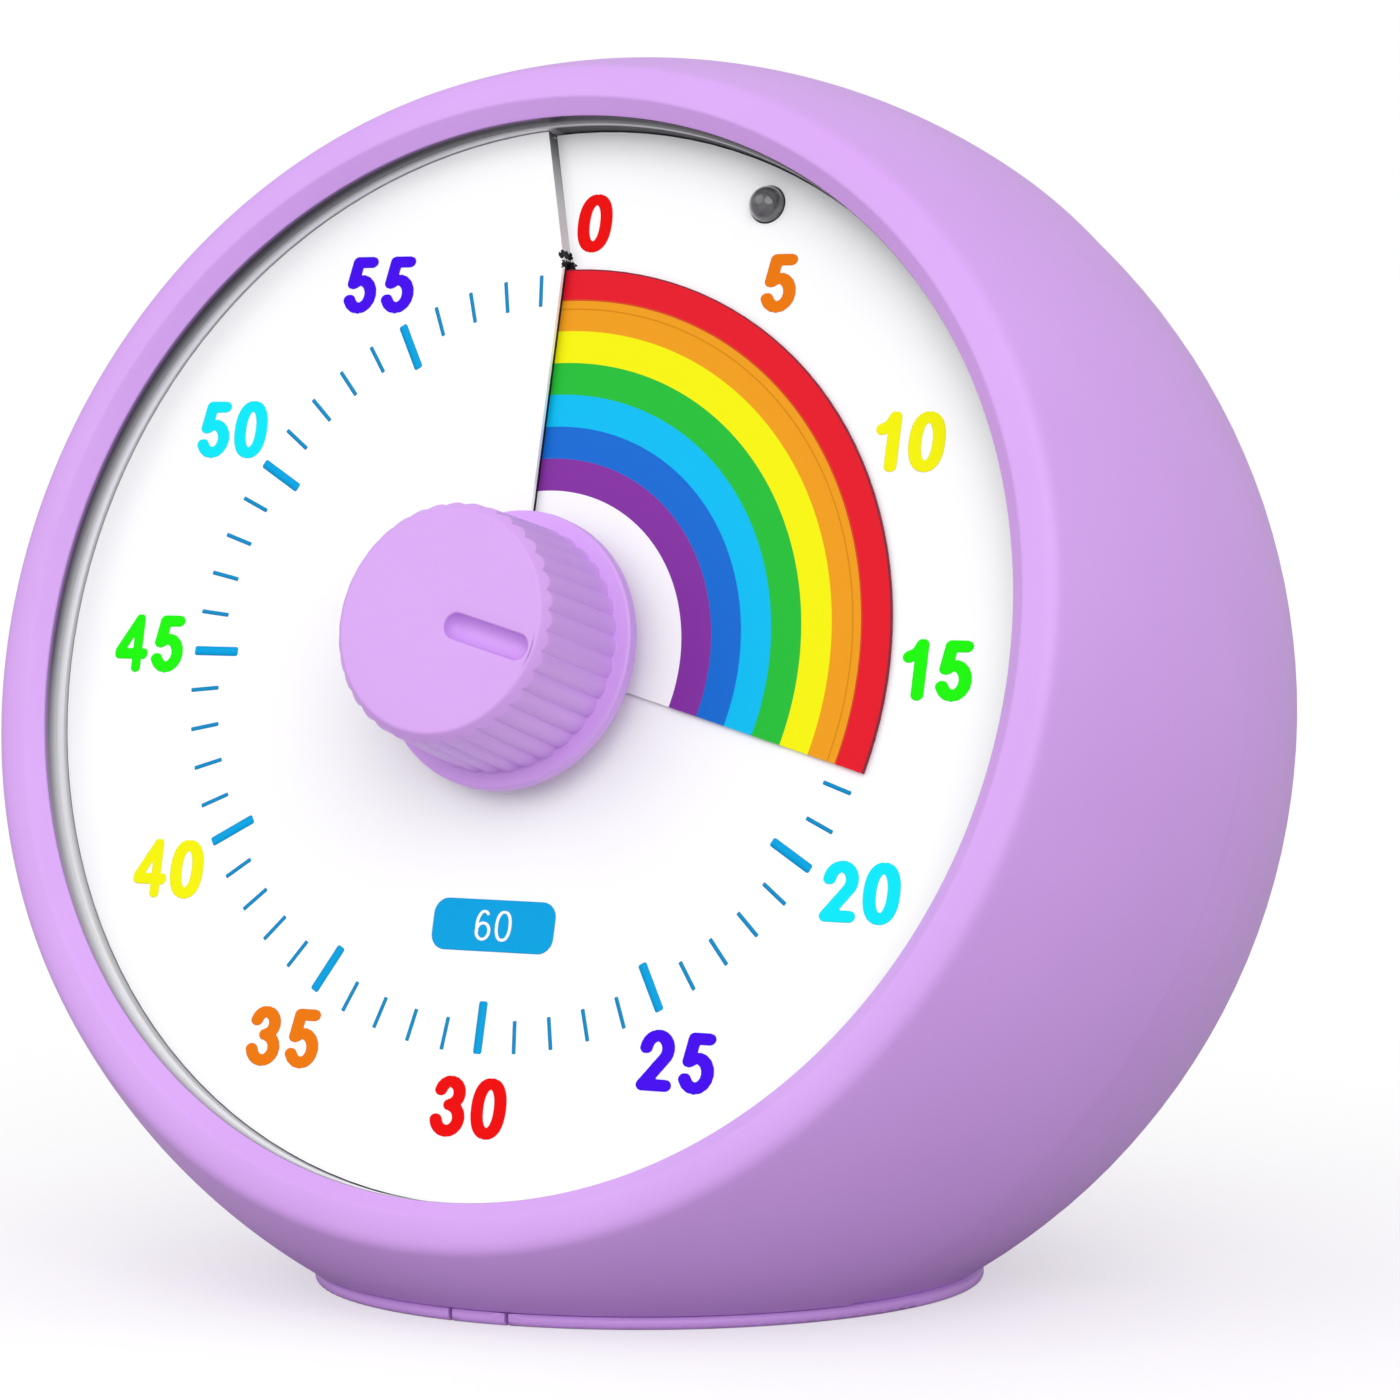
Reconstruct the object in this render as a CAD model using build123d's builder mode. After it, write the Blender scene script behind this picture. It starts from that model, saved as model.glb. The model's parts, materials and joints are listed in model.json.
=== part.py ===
from build123d import *
import os
from math import asin, atan, atan2, cos, degrees, pi, radians, sin, sqrt, tan

# Visual countdown timer: a ball-shaped body with a tilted dial, a rainbow disc that the knob winds
# out of a slit in the dial, and a battery box in its flat base. Millimetres, +Z up. The origin lies
# on the floor under the ball's centre, and the dial looks along -Y.

os.makedirs("parts", exist_ok=True)

# ---- driving dimensions ----

# body
front_radius = 54.15      # of the front shell
shell_step = 0.25         # the rear shell stands this far inside the front one
wall = 2.2
dial_tilt = 15.0          # the dial leans back by this
dial_offset = 20.4        # from the ball's centre to the dial's zero height
parting_gap = 0.2         # between the shells, at the ball's equator
lap_length = 1.5          # of the rear shell's tongue
lap_gap = 0.1

# rim of the front shell: heights are above the dial's zero height
crease_height = 3.85
crease_radius = 1.6
rim_band = 2.717          # from the crease in to the rim's edge
rim_height = 4.34
rim_crown = 0.12
rim_chamfer = 1.26        # from the rim's edge in to the lip
lip_height = 3.27
lip_edge = 0.17

# ring that lines the rim
liner_inset = 0.14        # of its bore from the lip
liner_wall = 0.9
liner_step = 0.1          # the bore opens by this above the fine line round it
liner_line_height = 1.5

# dial: one turn of a helical ramp, which climbs clockwise from the slit beside the 0
plate_thickness = 0.7
disc_thickness = 0.25
disc_gap = 0.125          # over and under the disc
plate_start = -0.77       # height of the plate's face at the top of the dial, where the ramp starts
plate_gap = 0.1           # round the plate in the liner
plate_hole = 8.2
slit_margin = 11.0        # from the slit's end to the plate's edge
seam_offset = 1.2         # the slit runs this far left of the dial's centre line
seam_lean = 3.0           # and leans this far more to the left at the dial's edge
step_wall = 1.0           # it closes the step outside the slit
disc_margin = 0.7         # from the disc's edge to the slit's end
disc_span = 354.0
disc_setting = 105.0      # angle of the disc's leading edge, clockwise from the top: 17.5 minutes
skirt_wall = 1.0
skirt_step = 0.15         # the skirt stands in from the plate's edge, and the flange in from the skirt
skirt_depth = 2.6
seat_height = -2.1        # of the plate's flange, on which the liner stands
seat_thickness = 0.8

# knob
flange_radius = 11.4
flange_bottom = 2.45
flange_top = 3.65
flange_round = 0.3
grip_foot = 10.2
grip_top = 9.72
ribs = 36
rib_radius = 1.33         # of each rib's round back
groove_phase = -2.0       # from the pointer to the nearest groove between two ribs
knob_face = 14.0
face_radius = 9.05
chamfer_height = 0.9
pointer_start = 0.55
pointer_end = 8.55
pointer_width = 2.1
pointer_straight = 0.3
knob_boss = 4.4
boss_bottom = 1.2         # of the knob's boss, over the hub of the disc
knob_skin = 1.7

# arbor and the hub of the disc
arbor_radius = 2.5
arbor_flat = 2.0
arbor_end = 9.0
collar_radius = 3.4
collar_top = -7.3
collar_thickness = 0.7
clip_radius = 2.2
clip_thickness = 0.4
clip_mouth = 100.0        # angle of the clip's opening
spring_radius = 4.5
spring_thickness = 0.3
pivot_radius = 1.2
key_gap = 0.05            # round the arbor in the hub and the knob
bearing_gap = 0.05
hub_top = 0.2
hub_web = 0.9
hub_radius = 7.4
hub_bore = 6.3
hub_bottom = -2.3

# carrier and movement
carrier_front = -3.0
carrier_thickness = 2.0
carrier_gap = 0.65        # round it in the front shell
carrier_lift = 2.2        # of its straight lower edge above the battery box
carrier_screw_inset = 1.0
boss_radius = 1.8
nut_flats = 10.0
nut_thickness = 1.5
bush_radius = 4.0
bush_flange = 5.5
bush_flange_thickness = 0.8
seat_gap = 0.05           # round the bush in the carrier and the case
case_size = 50.0
case_corner = 6.0
case_wall = 1.2
case_depth = 14.0
lid_thickness = 1.2
post_radius = 1.5
post_length = 1.0
pivot_boss = 3.0          # on the lid, round the arbor's pivot
axle_end_gap = 0.5
stator_height = -15.3
stator_thickness = 0.8
stator_width = 7.6
stator_hole = 2.8
core_length = 20.0
core_width = 3.4
core_shift = 1.0          # of the core's middle to the rotor's left
coil_radius = 2.0
coil_length = 11.0
coil_gap = 1.8            # from the coil to the case's lower wall
stator_leg = 4.0
board_thickness = 1.6
board_width = 36.0
board_height = 26.0
chip_size = 7.0
chip_thickness = 1.2

# wheel train
gear_module = 0.5
pressure_angle = 20.0
wheel_teeth = 40
pinion_teeth = 8
wheel_thickness = 0.8
wheel_addendum = 0.3
pinion_addendum = 0.5
root_clearance = 0.1
backlash = 0.1
centre_wheel_height = -9.8
third_wheel_height = -12.6
pinion_length = 1.2
third_angle = -60.0       # of the third wheel's axle, from the dial's 3 o'clock
rotor_angle = 180.0       # of the rotor's axle, seen from the third wheel's
rotor_height = -16.0
rotor_radius = 2.2
rotor_length = 2.2
axle_radius = 0.5

# screws
screw_count = 4           # in each set
case_screw_inset = 4.95   # from the front shell's inner wall at the parting line
case_screw_angle = 45.0   # of the first one, clockwise from the top
carrier_screw_angle = 60.0
case_boss = 3.6
case_seat = 2.4           # of the rear shell under the screw's head
front_boss_length = 14.4
rear_boss_length = 30.0
carrier_boss_length = 4.2
case_screw_shank = 1.4
case_screw_head = 2.5
case_screw_length = 12.0
carrier_screw_length = 4.2
screw_end_gap = 0.4       # between a screw's end and the end of its hole
small_screw_shank = 0.95
small_screw_head = 1.8
small_head_height = 1.3
case_head_height = 2.0
screw_gap = 0.1

# indicator
led_angle = 23.5          # clockwise from the top
led_inset = 3.0           # from the plate's edge
led_radius = 1.5
led_flange = 1.9
led_tip = 0.8
led_length = 5.3
led_flange_thickness = 1.0

# base
shell_bottom = 1.15
opening_depth = 8.0
cover_overlap = 1.1       # of the cover's edge past the opening
cover_inset = 0.161       # of its edge from the edge of the ball, which is cut flat over it
cover_height = 1.0
cover_round = 0.4
pry_tab_width = 5.2
pry_slot = 0.35
spigot_inset = 1.4        # of the cover's spigot from the opening's edge
spigot_wall = 1.2
spigot_top = 4.0
cover_gap = 0.1
box_ring_bottom = 1.3
box_floor = 5.0
box_wall = 1.2
box_gap = 0.2
ledge_width = 1.4
cell_radius = 5.25
cell_length = 44.5
cell_nub = 0.8
cell_nub_radius = 1.9
cell_gap = 1.0            # between the cells
spring_room = 3.3
contact_thickness = 0.4
cell_room = 0.5
bay_corner = 1.2
bay_margin = 0.31         # from the bay's corners to the outside of the box's ring
contact_margin = 1.0      # of a contact's edge inside the cell's
spring_width = 4.2
spring_foot = 0.5
rib_count = 3
rib_thickness = 0.9
rib_height = 1.6
pry_depth = 1.6

# speaker
speaker_rise = 12.6       # of its middle above the ball's centre
speaker_radius = 14.0
speaker_gap = 0.83        # from its rim's edge to the rear shell
speaker_rim = 1.4
speaker_wall = 1.2
speaker_ledge = 1.0
speaker_sleeve = 2.0
speaker_magnet = 7.5
speaker_depth = 5.0
grille_pitch = 3.4
grille_hole = 0.9
grille_rings = 2
grille_ring_step = 6      # holes that each ring has more than the one inside it

# sound switch
switch_drop = 17.4        # of the switch below the ball's centre
switch_travel = 3.6
switch_cap_width = 3.2
switch_cap_height = 3.0
switch_stand = 0.9        # of the cap above the shell
switch_gap = 0.2
switch_board_gap = 1.6    # from the board's corners to the rear shell
switch_length = 9.6
switch_body_height = 4.6
switch_body_depth = 4.4
switch_stem = 1.8
switch_stem_depth = 2.2
switch_board_width = 24.0
switch_board_height = 12.0
switch_post_spread = 19.0

# ---- base: its opening is as wide as the bay for the cells needs ----

cell_pitch = 2 * cell_radius + cell_gap
contact_size = 2 * (cell_radius - contact_margin)
bay_length = cell_length + spring_room + 2 * contact_thickness
bay_width = cell_pitch + 2 * cell_radius + cell_room
bay_reach = sqrt((bay_length / 2 - bay_corner) ** 2 + (bay_width / 2 - bay_corner) ** 2) + bay_corner
box_radius = bay_reach + bay_margin
opening_radius = box_radius + box_gap
cover_radius = opening_radius + cover_overlap
spigot_radius = opening_radius - spigot_inset

# ---- frames ----

rear_radius = front_radius - shell_step
rear_wall = rear_radius - wall
front_wall = front_radius - wall
centre_height = sqrt(front_radius**2 - (cover_radius + cover_inset) ** 2) + shell_bottom
tilt = radians(dial_tilt)
outward = Vector(0, -cos(tilt), sin(tilt))
upward = Vector(0, sin(tilt), cos(tilt))
ball_centre = Vector(0, 0, centre_height)
dial_centre = ball_centre + outward * dial_offset
dial_plane = Plane(origin=dial_centre, x_dir=(1, 0, 0), z_dir=outward)
dial_axis = Axis(dial_centre, outward)
section_plane = Plane(origin=dial_centre, x_dir=(1, 0, 0), z_dir=upward * -1)
rear_plane = Plane(origin=(0, 0, 0), x_dir=(-1, 0, 0), z_dir=(0, 1, 0))
dial_pitch = plate_thickness + disc_thickness + 2 * disc_gap


def clock_point(angle, radius):
    """A point of the dial plane, at an angle clockwise from the dial's top."""
    return (radius * sin(radians(angle)), radius * cos(radians(angle)))


def ball_reach(radius, height):
    """Distance from the dial's axis to a ball of this radius, at a height over the dial."""
    return sqrt(radius**2 - (height + dial_offset) ** 2)


def ramp(inner, outer, start, end, height):
    """A ruled face between two helices: it climbs clockwise by the pitch in each turn."""
    rise = dial_pitch * (end - start) / 360
    rails = [Edge.make_helix(dial_pitch, rise, radius, lefthand=True) for radius in (inner, outer)]
    foot = dial_plane.offset(height + dial_pitch * start / 360).location
    foot = foot * Rotation(0, 0, 90 - start)
    return Face.make_surface_from_curves(*rails).moved(foot)


def ring_points(first, radius):
    """Places of a set of screws: the first one's angle runs clockwise from the top."""
    return [clock_point(first + 360 * turn / screw_count, radius) for turn in range(screw_count)]


def tooth_outline(teeth, heights):
    """Corners of a spur gear: points of its involute flanks at heights over the pitch circle."""
    pitch_radius = gear_module * teeth / 2
    base_radius = pitch_radius * cos(radians(pressure_angle))
    half_tooth = pi / (2 * teeth) - backlash / (2 * pitch_radius)
    unwind_pitch = tan(radians(pressure_angle)) - radians(pressure_angle)
    corners = []
    for tooth in range(teeth):
        middle = 2 * pi * tooth / teeth
        flank = []
        for radius in [pitch_radius + height for height in heights]:
            roll = sqrt(max((radius / base_radius) ** 2 - 1, 0))
            half = half_tooth + unwind_pitch - (roll - atan(roll))
            flank.append((radius, half))
        corners += [(radius, middle - half) for radius, half in flank]
        corners += [(radius, middle + half) for radius, half in reversed(flank)]
    return [(radius * cos(angle), radius * sin(angle)) for radius, angle in corners]


# ---- places that follow from one another, from the ball's inside and the rim inwards ----

crease_reach = ball_reach(front_radius, crease_height)
rim_radius = crease_reach - rim_band
lip_radius = rim_radius - rim_chamfer
liner_bore = lip_radius - liner_inset
plate_radius = liner_bore - plate_gap
slit_end = plate_radius - slit_margin
disc_radius = slit_end - disc_margin
led_ring = plate_radius - led_inset
carrier_radius = ball_reach(front_wall, carrier_front) - carrier_gap
carrier_ring = carrier_radius - carrier_screw_inset
case_front = carrier_front - carrier_thickness
carrier_foot = box_floor + box_wall + carrier_lift
carrier_flat = (dial_centre.Z + case_front * sin(tilt) - carrier_foot) / cos(tilt)
case_screw_ring = front_wall - case_screw_inset
speaker_height = centre_height + speaker_rise
speaker_front = sqrt(rear_wall**2 - (speaker_rise + speaker_radius) ** 2) - speaker_gap
switch_height = centre_height - switch_drop
board_reach = (switch_board_width / 2) ** 2 + (switch_drop + switch_board_height / 2) ** 2
switch_board_face = sqrt(rear_wall**2 - board_reach) - switch_board_gap

# ---- body ----

crease_angle = degrees(atan2(crease_height + dial_offset, crease_reach))
lip_bottom = lip_height - lip_edge
lip_reach = ball_reach(front_wall, lip_bottom)
lip_angle = degrees(atan2(lip_bottom + dial_offset, lip_reach))
lap_radius = (front_wall + front_radius) / 2
rear_face = -dial_offset - parting_gap
well_floor = rear_face - case_seat
case_corners = ring_points(case_screw_angle, case_screw_ring)
carrier_corners = ring_points(carrier_screw_angle, carrier_ring)
case_grip = case_screw_length - case_seat - parting_gap
carrier_grip = carrier_screw_length - carrier_thickness

with BuildPart() as front_shell:
    with BuildSketch(section_plane) as rim:
        with BuildLine():
            ball = CenterArc((0, -dial_offset), front_radius, 0, crease_angle)
            crown = ((crease_reach + rim_radius) / 2, (crease_height + rim_height) / 2 + rim_crown)
            ThreePointArc(ball @ 1, crown, (rim_radius, rim_height))
            Line((rim_radius, rim_height), (lip_radius, lip_height))
            Line((lip_radius, lip_height), (lip_radius, lip_bottom))
            Line((lip_radius, lip_bottom), (lip_reach, lip_bottom))
            inside = CenterArc((0, -dial_offset), front_wall, lip_angle, -lip_angle)
            Line(inside @ 1, ball @ 0)
        make_face()
        crease = rim.vertices().sort_by_distance((crease_reach, crease_height))[0]
        fillet(crease, crease_radius)
    revolve(axis=dial_axis)
    with BuildSketch(dial_plane.offset(-dial_offset)):
        with Locations(*case_corners):
            Circle(case_boss)
    extrude(amount=front_boss_length)
    with BuildSketch(dial_plane.offset(carrier_front)):
        with Locations(*carrier_corners):
            Circle(boss_radius)
    extrude(amount=carrier_boss_length)
    # the ball's inside trims the posts, the lap and the pilot holes are cut after that
    with BuildSketch(section_plane):
        with BuildLine():
            ball = CenterArc((0, -dial_offset), front_radius, 0, crease_angle)
            Line(ball @ 1, (crease_reach, rim_height))
            Line((crease_reach, rim_height), (0, rim_height))
            Line((0, rim_height), (0, -dial_offset))
            Line((0, -dial_offset), ball @ 0)
        make_face()
    revolve(axis=dial_axis, mode=Mode.INTERSECT)
    with BuildSketch(dial_plane.offset(-dial_offset)):
        Circle(lap_radius + lap_gap)
        Circle(rear_wall - lap_gap, mode=Mode.SUBTRACT)
    extrude(amount=lap_length + lap_gap, mode=Mode.SUBTRACT)
    with BuildSketch(dial_plane.offset(-dial_offset)):
        with Locations(*case_corners):
            Circle(case_screw_shank + screw_gap / 2)
    extrude(amount=case_grip + screw_end_gap, mode=Mode.SUBTRACT)
    with BuildSketch(dial_plane.offset(carrier_front)):
        with Locations(*carrier_corners):
            Circle(small_screw_shank + screw_gap / 2)
    extrude(amount=carrier_grip + screw_end_gap, mode=Mode.SUBTRACT)
    with BuildSketch(Plane.XY):
        Circle(opening_radius)
    extrude(amount=opening_depth, mode=Mode.SUBTRACT)
    split(bisect_by=Plane.XY.offset(shell_bottom), keep=Keep.TOP)
front_shell.part.label = "front_shell"
export_step(front_shell.part, "parts/front_shell.step")

switch_slot = switch_cap_width + switch_travel + 2 * switch_gap
switch_posts = [(side * switch_post_spread / 2, switch_height) for side in (-1, 1)]

with BuildPart() as rear_shell:
    with BuildSketch(section_plane):
        with BuildLine():
            start = -degrees(asin(parting_gap / rear_radius))
            ball = CenterArc((0, -dial_offset), rear_radius, start, -90 - start)
            Line(ball @ 1, (0, -dial_offset - rear_wall))
            inside = CenterArc((0, -dial_offset), rear_wall, -90, 90 + start)
            Line(inside @ 1, ball @ 0)
        make_face()
    revolve(axis=dial_axis)
    with BuildSketch(dial_plane.offset(rear_face)):
        with Locations(*case_corners):
            Circle(case_boss)
    extrude(amount=-rear_boss_length)
    with BuildSketch(rear_plane.offset(speaker_front)):
        with Locations((0, speaker_height)):
            Circle(speaker_radius + box_gap + speaker_wall)
            Circle(speaker_radius - speaker_ledge, mode=Mode.SUBTRACT)
    extrude(amount=rear_radius - speaker_front)
    with BuildSketch(rear_plane.offset(speaker_front)):
        with Locations((0, speaker_height)):
            Circle(speaker_radius + box_gap + speaker_wall)
            Circle(speaker_radius + box_gap, mode=Mode.SUBTRACT)
    extrude(amount=-speaker_sleeve)
    with BuildSketch(rear_plane.offset(switch_board_face)):
        with Locations(*switch_posts):
            Circle(boss_radius)
    extrude(amount=rear_radius - switch_board_face)
    with BuildSketch(section_plane):
        with BuildLine():
            ball = CenterArc((0, -dial_offset), rear_radius, 0, -90)
            Line(ball @ 1, (0, -dial_offset))
            Line((0, -dial_offset), ball @ 0)
        make_face()
    revolve(axis=dial_axis, mode=Mode.INTERSECT)
    with BuildSketch(dial_plane.offset(rear_face)):
        Circle(lap_radius)
        Circle(rear_wall, mode=Mode.SUBTRACT)
    extrude(amount=parting_gap + lap_length)
    with BuildSketch(dial_plane.offset(well_floor)):
        with Locations(*case_corners):
            Circle(case_screw_head + box_gap)
    extrude(amount=-rear_radius, mode=Mode.SUBTRACT)
    with BuildSketch(dial_plane.offset(well_floor)):
        with Locations(*case_corners):
            Circle(case_screw_shank + screw_gap)
    extrude(amount=dial_offset, mode=Mode.SUBTRACT)
    with BuildSketch(rear_plane.offset(speaker_front)):
        with Locations((0, speaker_height)):
            Circle(grille_hole)
            for ring in range(1, grille_rings + 1):
                with PolarLocations(ring * grille_pitch, ring * grille_ring_step):
                    Circle(grille_hole)
    extrude(amount=rear_radius - speaker_front, mode=Mode.SUBTRACT)
    with BuildSketch(rear_plane.offset(switch_board_face)):
        with Locations((0, switch_height)):
            RectangleRounded(switch_slot, switch_cap_height + 2 * switch_gap, switch_gap)
    extrude(amount=rear_radius - switch_board_face, mode=Mode.SUBTRACT)
    with BuildSketch(Plane.XY):
        Circle(opening_radius)
    extrude(amount=opening_depth, mode=Mode.SUBTRACT)
    split(bisect_by=Plane.XY.offset(shell_bottom), keep=Keep.TOP)
rear_shell.part.label = "rear_shell"
export_step(rear_shell.part, "parts/rear_shell.step")

# ---- dial ----

liner_outer = liner_bore + liner_wall
with BuildPart() as rim_liner:
    with BuildSketch(section_plane):
        with BuildLine():
            Polyline(
                (liner_bore, seat_height),
                (liner_outer, seat_height),
                (liner_outer, lip_bottom),
                (liner_bore + liner_step, lip_bottom),
                (liner_bore + liner_step, liner_line_height),
                (liner_bore, liner_line_height),
                close=True,
            )
        make_face()
    revolve(axis=dial_axis)
rim_liner.part.label = "rim_liner"
export_step(rim_liner.part, "parts/rim_liner.step")

# The ramp runs from a little before the top of the dial to one turn later. At the seam the low start
# is cut away on the left, and the high end on the right. The step between them is open as a slit
# as far as slit_end, and outside that a wall closes it.
seam_early = 12.0
seam_margin = 1.0
seam_edge = plate_radius + seam_margin
seam_slope = seam_lean / (plate_radius - slit_end)
seam_tip = (-seam_offset - seam_slope * (seam_edge - slit_end), seam_edge)
seam_bend = (-seam_offset, slit_end)
early_slope = tan(radians(seam_early + seam_margin))
step_middle = plate_start + dial_pitch / 2 - plate_thickness / 2
skirt_outer = plate_radius - skirt_step
edge_angle = degrees(atan2(seam_offset + seam_lean, plate_radius))
wall_end = plate_radius - skirt_wall / 2
wall_tip = (-seam_offset - seam_slope * (wall_end - slit_end), wall_end)
led_centre = clock_point(led_angle, led_ring)

with BuildPart() as dial_plate:
    extrude(
        ramp(plate_hole, plate_radius, -seam_early, 360, plate_start - plate_thickness),
        amount=plate_thickness,
        dir=outward,
    )
    with BuildSketch(dial_plane.offset(step_middle)):
        with BuildLine():
            low_foot = (-seam_offset, seam_offset / early_slope)
            low_tip = (-early_slope * seam_edge, seam_edge)
            Polyline(low_foot, seam_bend, seam_tip, low_tip, close=True)
        make_face()
    extrude(amount=-dial_pitch, mode=Mode.SUBTRACT)
    with BuildSketch(dial_plane.offset(step_middle)):
        with BuildLine():
            high_foot = (-seam_offset, 0)
            high_side = [(seam_margin, seam_edge), (seam_margin, 0)]
            Polyline(high_foot, seam_bend, seam_tip, *high_side, close=True)
        make_face()
    extrude(amount=dial_pitch, mode=Mode.SUBTRACT)
    with BuildSketch(dial_plane.offset(plate_start - plate_thickness / 2)):
        with BuildLine():
            back_tip = (wall_tip[0] - step_wall, wall_tip[1])
            back_bend = (seam_bend[0] - step_wall, seam_bend[1])
            Polyline(seam_bend, wall_tip, back_tip, back_bend, close=True)
        make_face()
    extrude(amount=dial_pitch)
    extrude(
        ramp(
            skirt_outer - skirt_wall,
            skirt_outer,
            -edge_angle,
            360 - edge_angle,
            plate_start - plate_thickness / 2,
        ),
        amount=-skirt_depth,
        dir=outward,
    )
    with BuildSketch(dial_plane.offset(seat_height)):
        Circle(liner_outer)
        Circle(skirt_outer - skirt_wall - skirt_step, mode=Mode.SUBTRACT)
    extrude(amount=-seat_thickness)
    split(bisect_by=dial_plane.offset(seat_height - seat_thickness), keep=Keep.TOP)
    with BuildSketch(dial_plane.offset(seat_height)):
        with Locations(led_centre):
            Circle(led_radius + screw_gap)
    extrude(amount=-seat_height + rim_height, mode=Mode.SUBTRACT)
dial_plate.part.label = "dial_plate"
export_step(dial_plate.part, "parts/dial_plate.step")

with BuildPart() as rainbow_disc:
    extrude(
        ramp(hub_radius, disc_radius, disc_setting - disc_span, disc_setting, plate_start + disc_gap),
        amount=disc_thickness,
        dir=outward,
    )
rainbow_disc.part.label = "rainbow_disc"
export_step(rainbow_disc.part, "parts/rainbow_disc.step")


def keyed_section(gap):
    """The arbor's section with its flat, wider by a gap all round."""
    with BuildSketch() as section:
        Circle(arbor_radius + gap)
        with Locations((arbor_flat + gap + arbor_radius, 0)):
            Rectangle(2 * arbor_radius, 2 * arbor_radius, mode=Mode.SUBTRACT)
    return section.sketch


key_section = keyed_section(key_gap)

with BuildPart() as disc_hub:
    with BuildSketch(dial_plane.offset(hub_bottom)):
        Circle(hub_radius)
    extrude(amount=hub_top - hub_bottom)
    with BuildSketch(dial_plane.offset(hub_bottom)):
        Circle(hub_bore)
    extrude(amount=hub_top - hub_web - hub_bottom, mode=Mode.SUBTRACT)
    with BuildSketch(dial_plane.offset(hub_bottom)):
        add(key_section)
    extrude(amount=hub_top - hub_bottom, mode=Mode.SUBTRACT)
disc_hub.part.label = "disc_hub"
export_step(disc_hub.part, "parts/disc_hub.step")

# ---- knob and arbor ----

chamfer_foot = knob_face - chamfer_height
draft = atan((grip_foot - grip_top) / (chamfer_foot - flange_top))
rib_foot = grip_foot - rib_radius
rib_head = rib_foot - tan(draft) * (knob_face - flange_top)
cone_height = chamfer_height * (flange_radius - face_radius) / (grip_top - face_radius)


def rib_plane(angle):
    """The plane of a rib's foot: the rib leans in towards the knob's axis by the draft."""
    aside = dial_plane.x_dir * sin(radians(angle)) + dial_plane.y_dir * cos(radians(angle))
    lean = outward * cos(draft) - aside * sin(draft)
    return Plane(origin=dial_centre + outward * flange_top + aside * rib_foot, z_dir=lean)


rib_step = 360 / ribs
first_rib = disc_setting + groove_phase + rib_step / 2
pointer_half = pointer_width / 2
pointer_plane = Plane(
    origin=dial_centre + outward * (knob_face - pointer_straight),
    x_dir=dial_plane.x_dir * sin(radians(disc_setting)) + dial_plane.y_dir * cos(radians(disc_setting)),
    z_dir=outward,
)

with BuildPart() as knob:
    with BuildSketch(section_plane):
        with BuildLine():
            core_top = (rib_head, knob_face)
            Polyline((0, flange_top), (rib_foot, flange_top), core_top, (0, knob_face), close=True)
        make_face()
    revolve(axis=dial_axis)
    with BuildSketch(*[rib_plane(first_rib + rib_step * rib) for rib in range(ribs)]):
        Circle(rib_radius)
    extrude(amount=knob_face - flange_bottom, both=True)
    with BuildSketch(section_plane):
        with BuildLine():
            Polyline(
                (0, flange_top),
                (flange_radius, flange_top),
                (flange_radius, knob_face - cone_height),
                (face_radius, knob_face),
                (0, knob_face),
                close=True,
            )
        make_face()
    revolve(axis=dial_axis, mode=Mode.INTERSECT)
    with BuildSketch(section_plane):
        with BuildLine():
            Polyline(
                (0, flange_bottom),
                (flange_radius, flange_bottom),
                (flange_radius, flange_top - flange_round),
                (flange_radius - flange_round, flange_top),
                (0, flange_top),
                close=True,
            )
        make_face()
    revolve(axis=dial_axis)
    with BuildSketch(section_plane):
        with BuildLine():
            Polyline(
                (knob_boss, flange_bottom),
                (grip_foot - knob_skin, flange_bottom),
                (grip_top - knob_skin, knob_face - 2 * knob_skin),
                (knob_boss, knob_face - 2 * knob_skin),
                close=True,
            )
        make_face()
    revolve(axis=dial_axis, mode=Mode.SUBTRACT)
    with BuildSketch(dial_plane.offset(flange_bottom)):
        Circle(knob_boss)
    extrude(amount=boss_bottom - flange_bottom)
    with BuildSketch(dial_plane.offset(boss_bottom)):
        add(key_section)
    extrude(amount=arbor_end + key_gap - boss_bottom, mode=Mode.SUBTRACT)
    with BuildSketch(pointer_plane):
        with Locations(((pointer_start + pointer_end) / 2, 0)):
            SlotOverall(pointer_end - pointer_start, pointer_width)
    extrude(amount=pointer_straight, mode=Mode.SUBTRACT)
    with BuildSketch(pointer_plane):
        with BuildLine():
            Line((pointer_start, 0), (pointer_end, 0))
            CenterArc((pointer_end - pointer_half, 0), pointer_half, 0, 90)
            Line((pointer_end - pointer_half, pointer_half), (pointer_start + pointer_half, pointer_half))
            CenterArc((pointer_start + pointer_half, 0), pointer_half, 90, 90)
        make_face()
    revolve(axis=Axis(pointer_plane.origin, pointer_plane.x_dir), mode=Mode.SUBTRACT)
knob.part.label = "knob"
export_step(knob.part, "parts/knob.step")

case_inside = case_front - case_wall
case_rear = case_front - case_depth
lid_inside = case_rear + lid_thickness
axle_end = lid_inside + axle_end_gap
collar_bottom = collar_top - collar_thickness
bush_top = carrier_front + nut_thickness

with BuildPart() as arbor:
    with BuildSketch(section_plane):
        with BuildLine():
            Polyline(
                (0, arbor_end),
                (arbor_radius, arbor_end),
                (arbor_radius, collar_top),
                (collar_radius, collar_top),
                (collar_radius, collar_bottom),
                (pivot_radius, collar_bottom),
                (pivot_radius, axle_end),
                (0, axle_end),
                close=True,
            )
        make_face()
    revolve(axis=dial_axis)
    with BuildSketch(dial_plane.offset(bush_top)):
        with Locations((arbor_flat + arbor_radius, 0)):
            Rectangle(2 * arbor_radius, 2 * arbor_radius)
    extrude(amount=arbor_end - bush_top, mode=Mode.SUBTRACT)
arbor.part.label = "arbor"
export_step(arbor.part, "parts/arbor.step")

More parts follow.
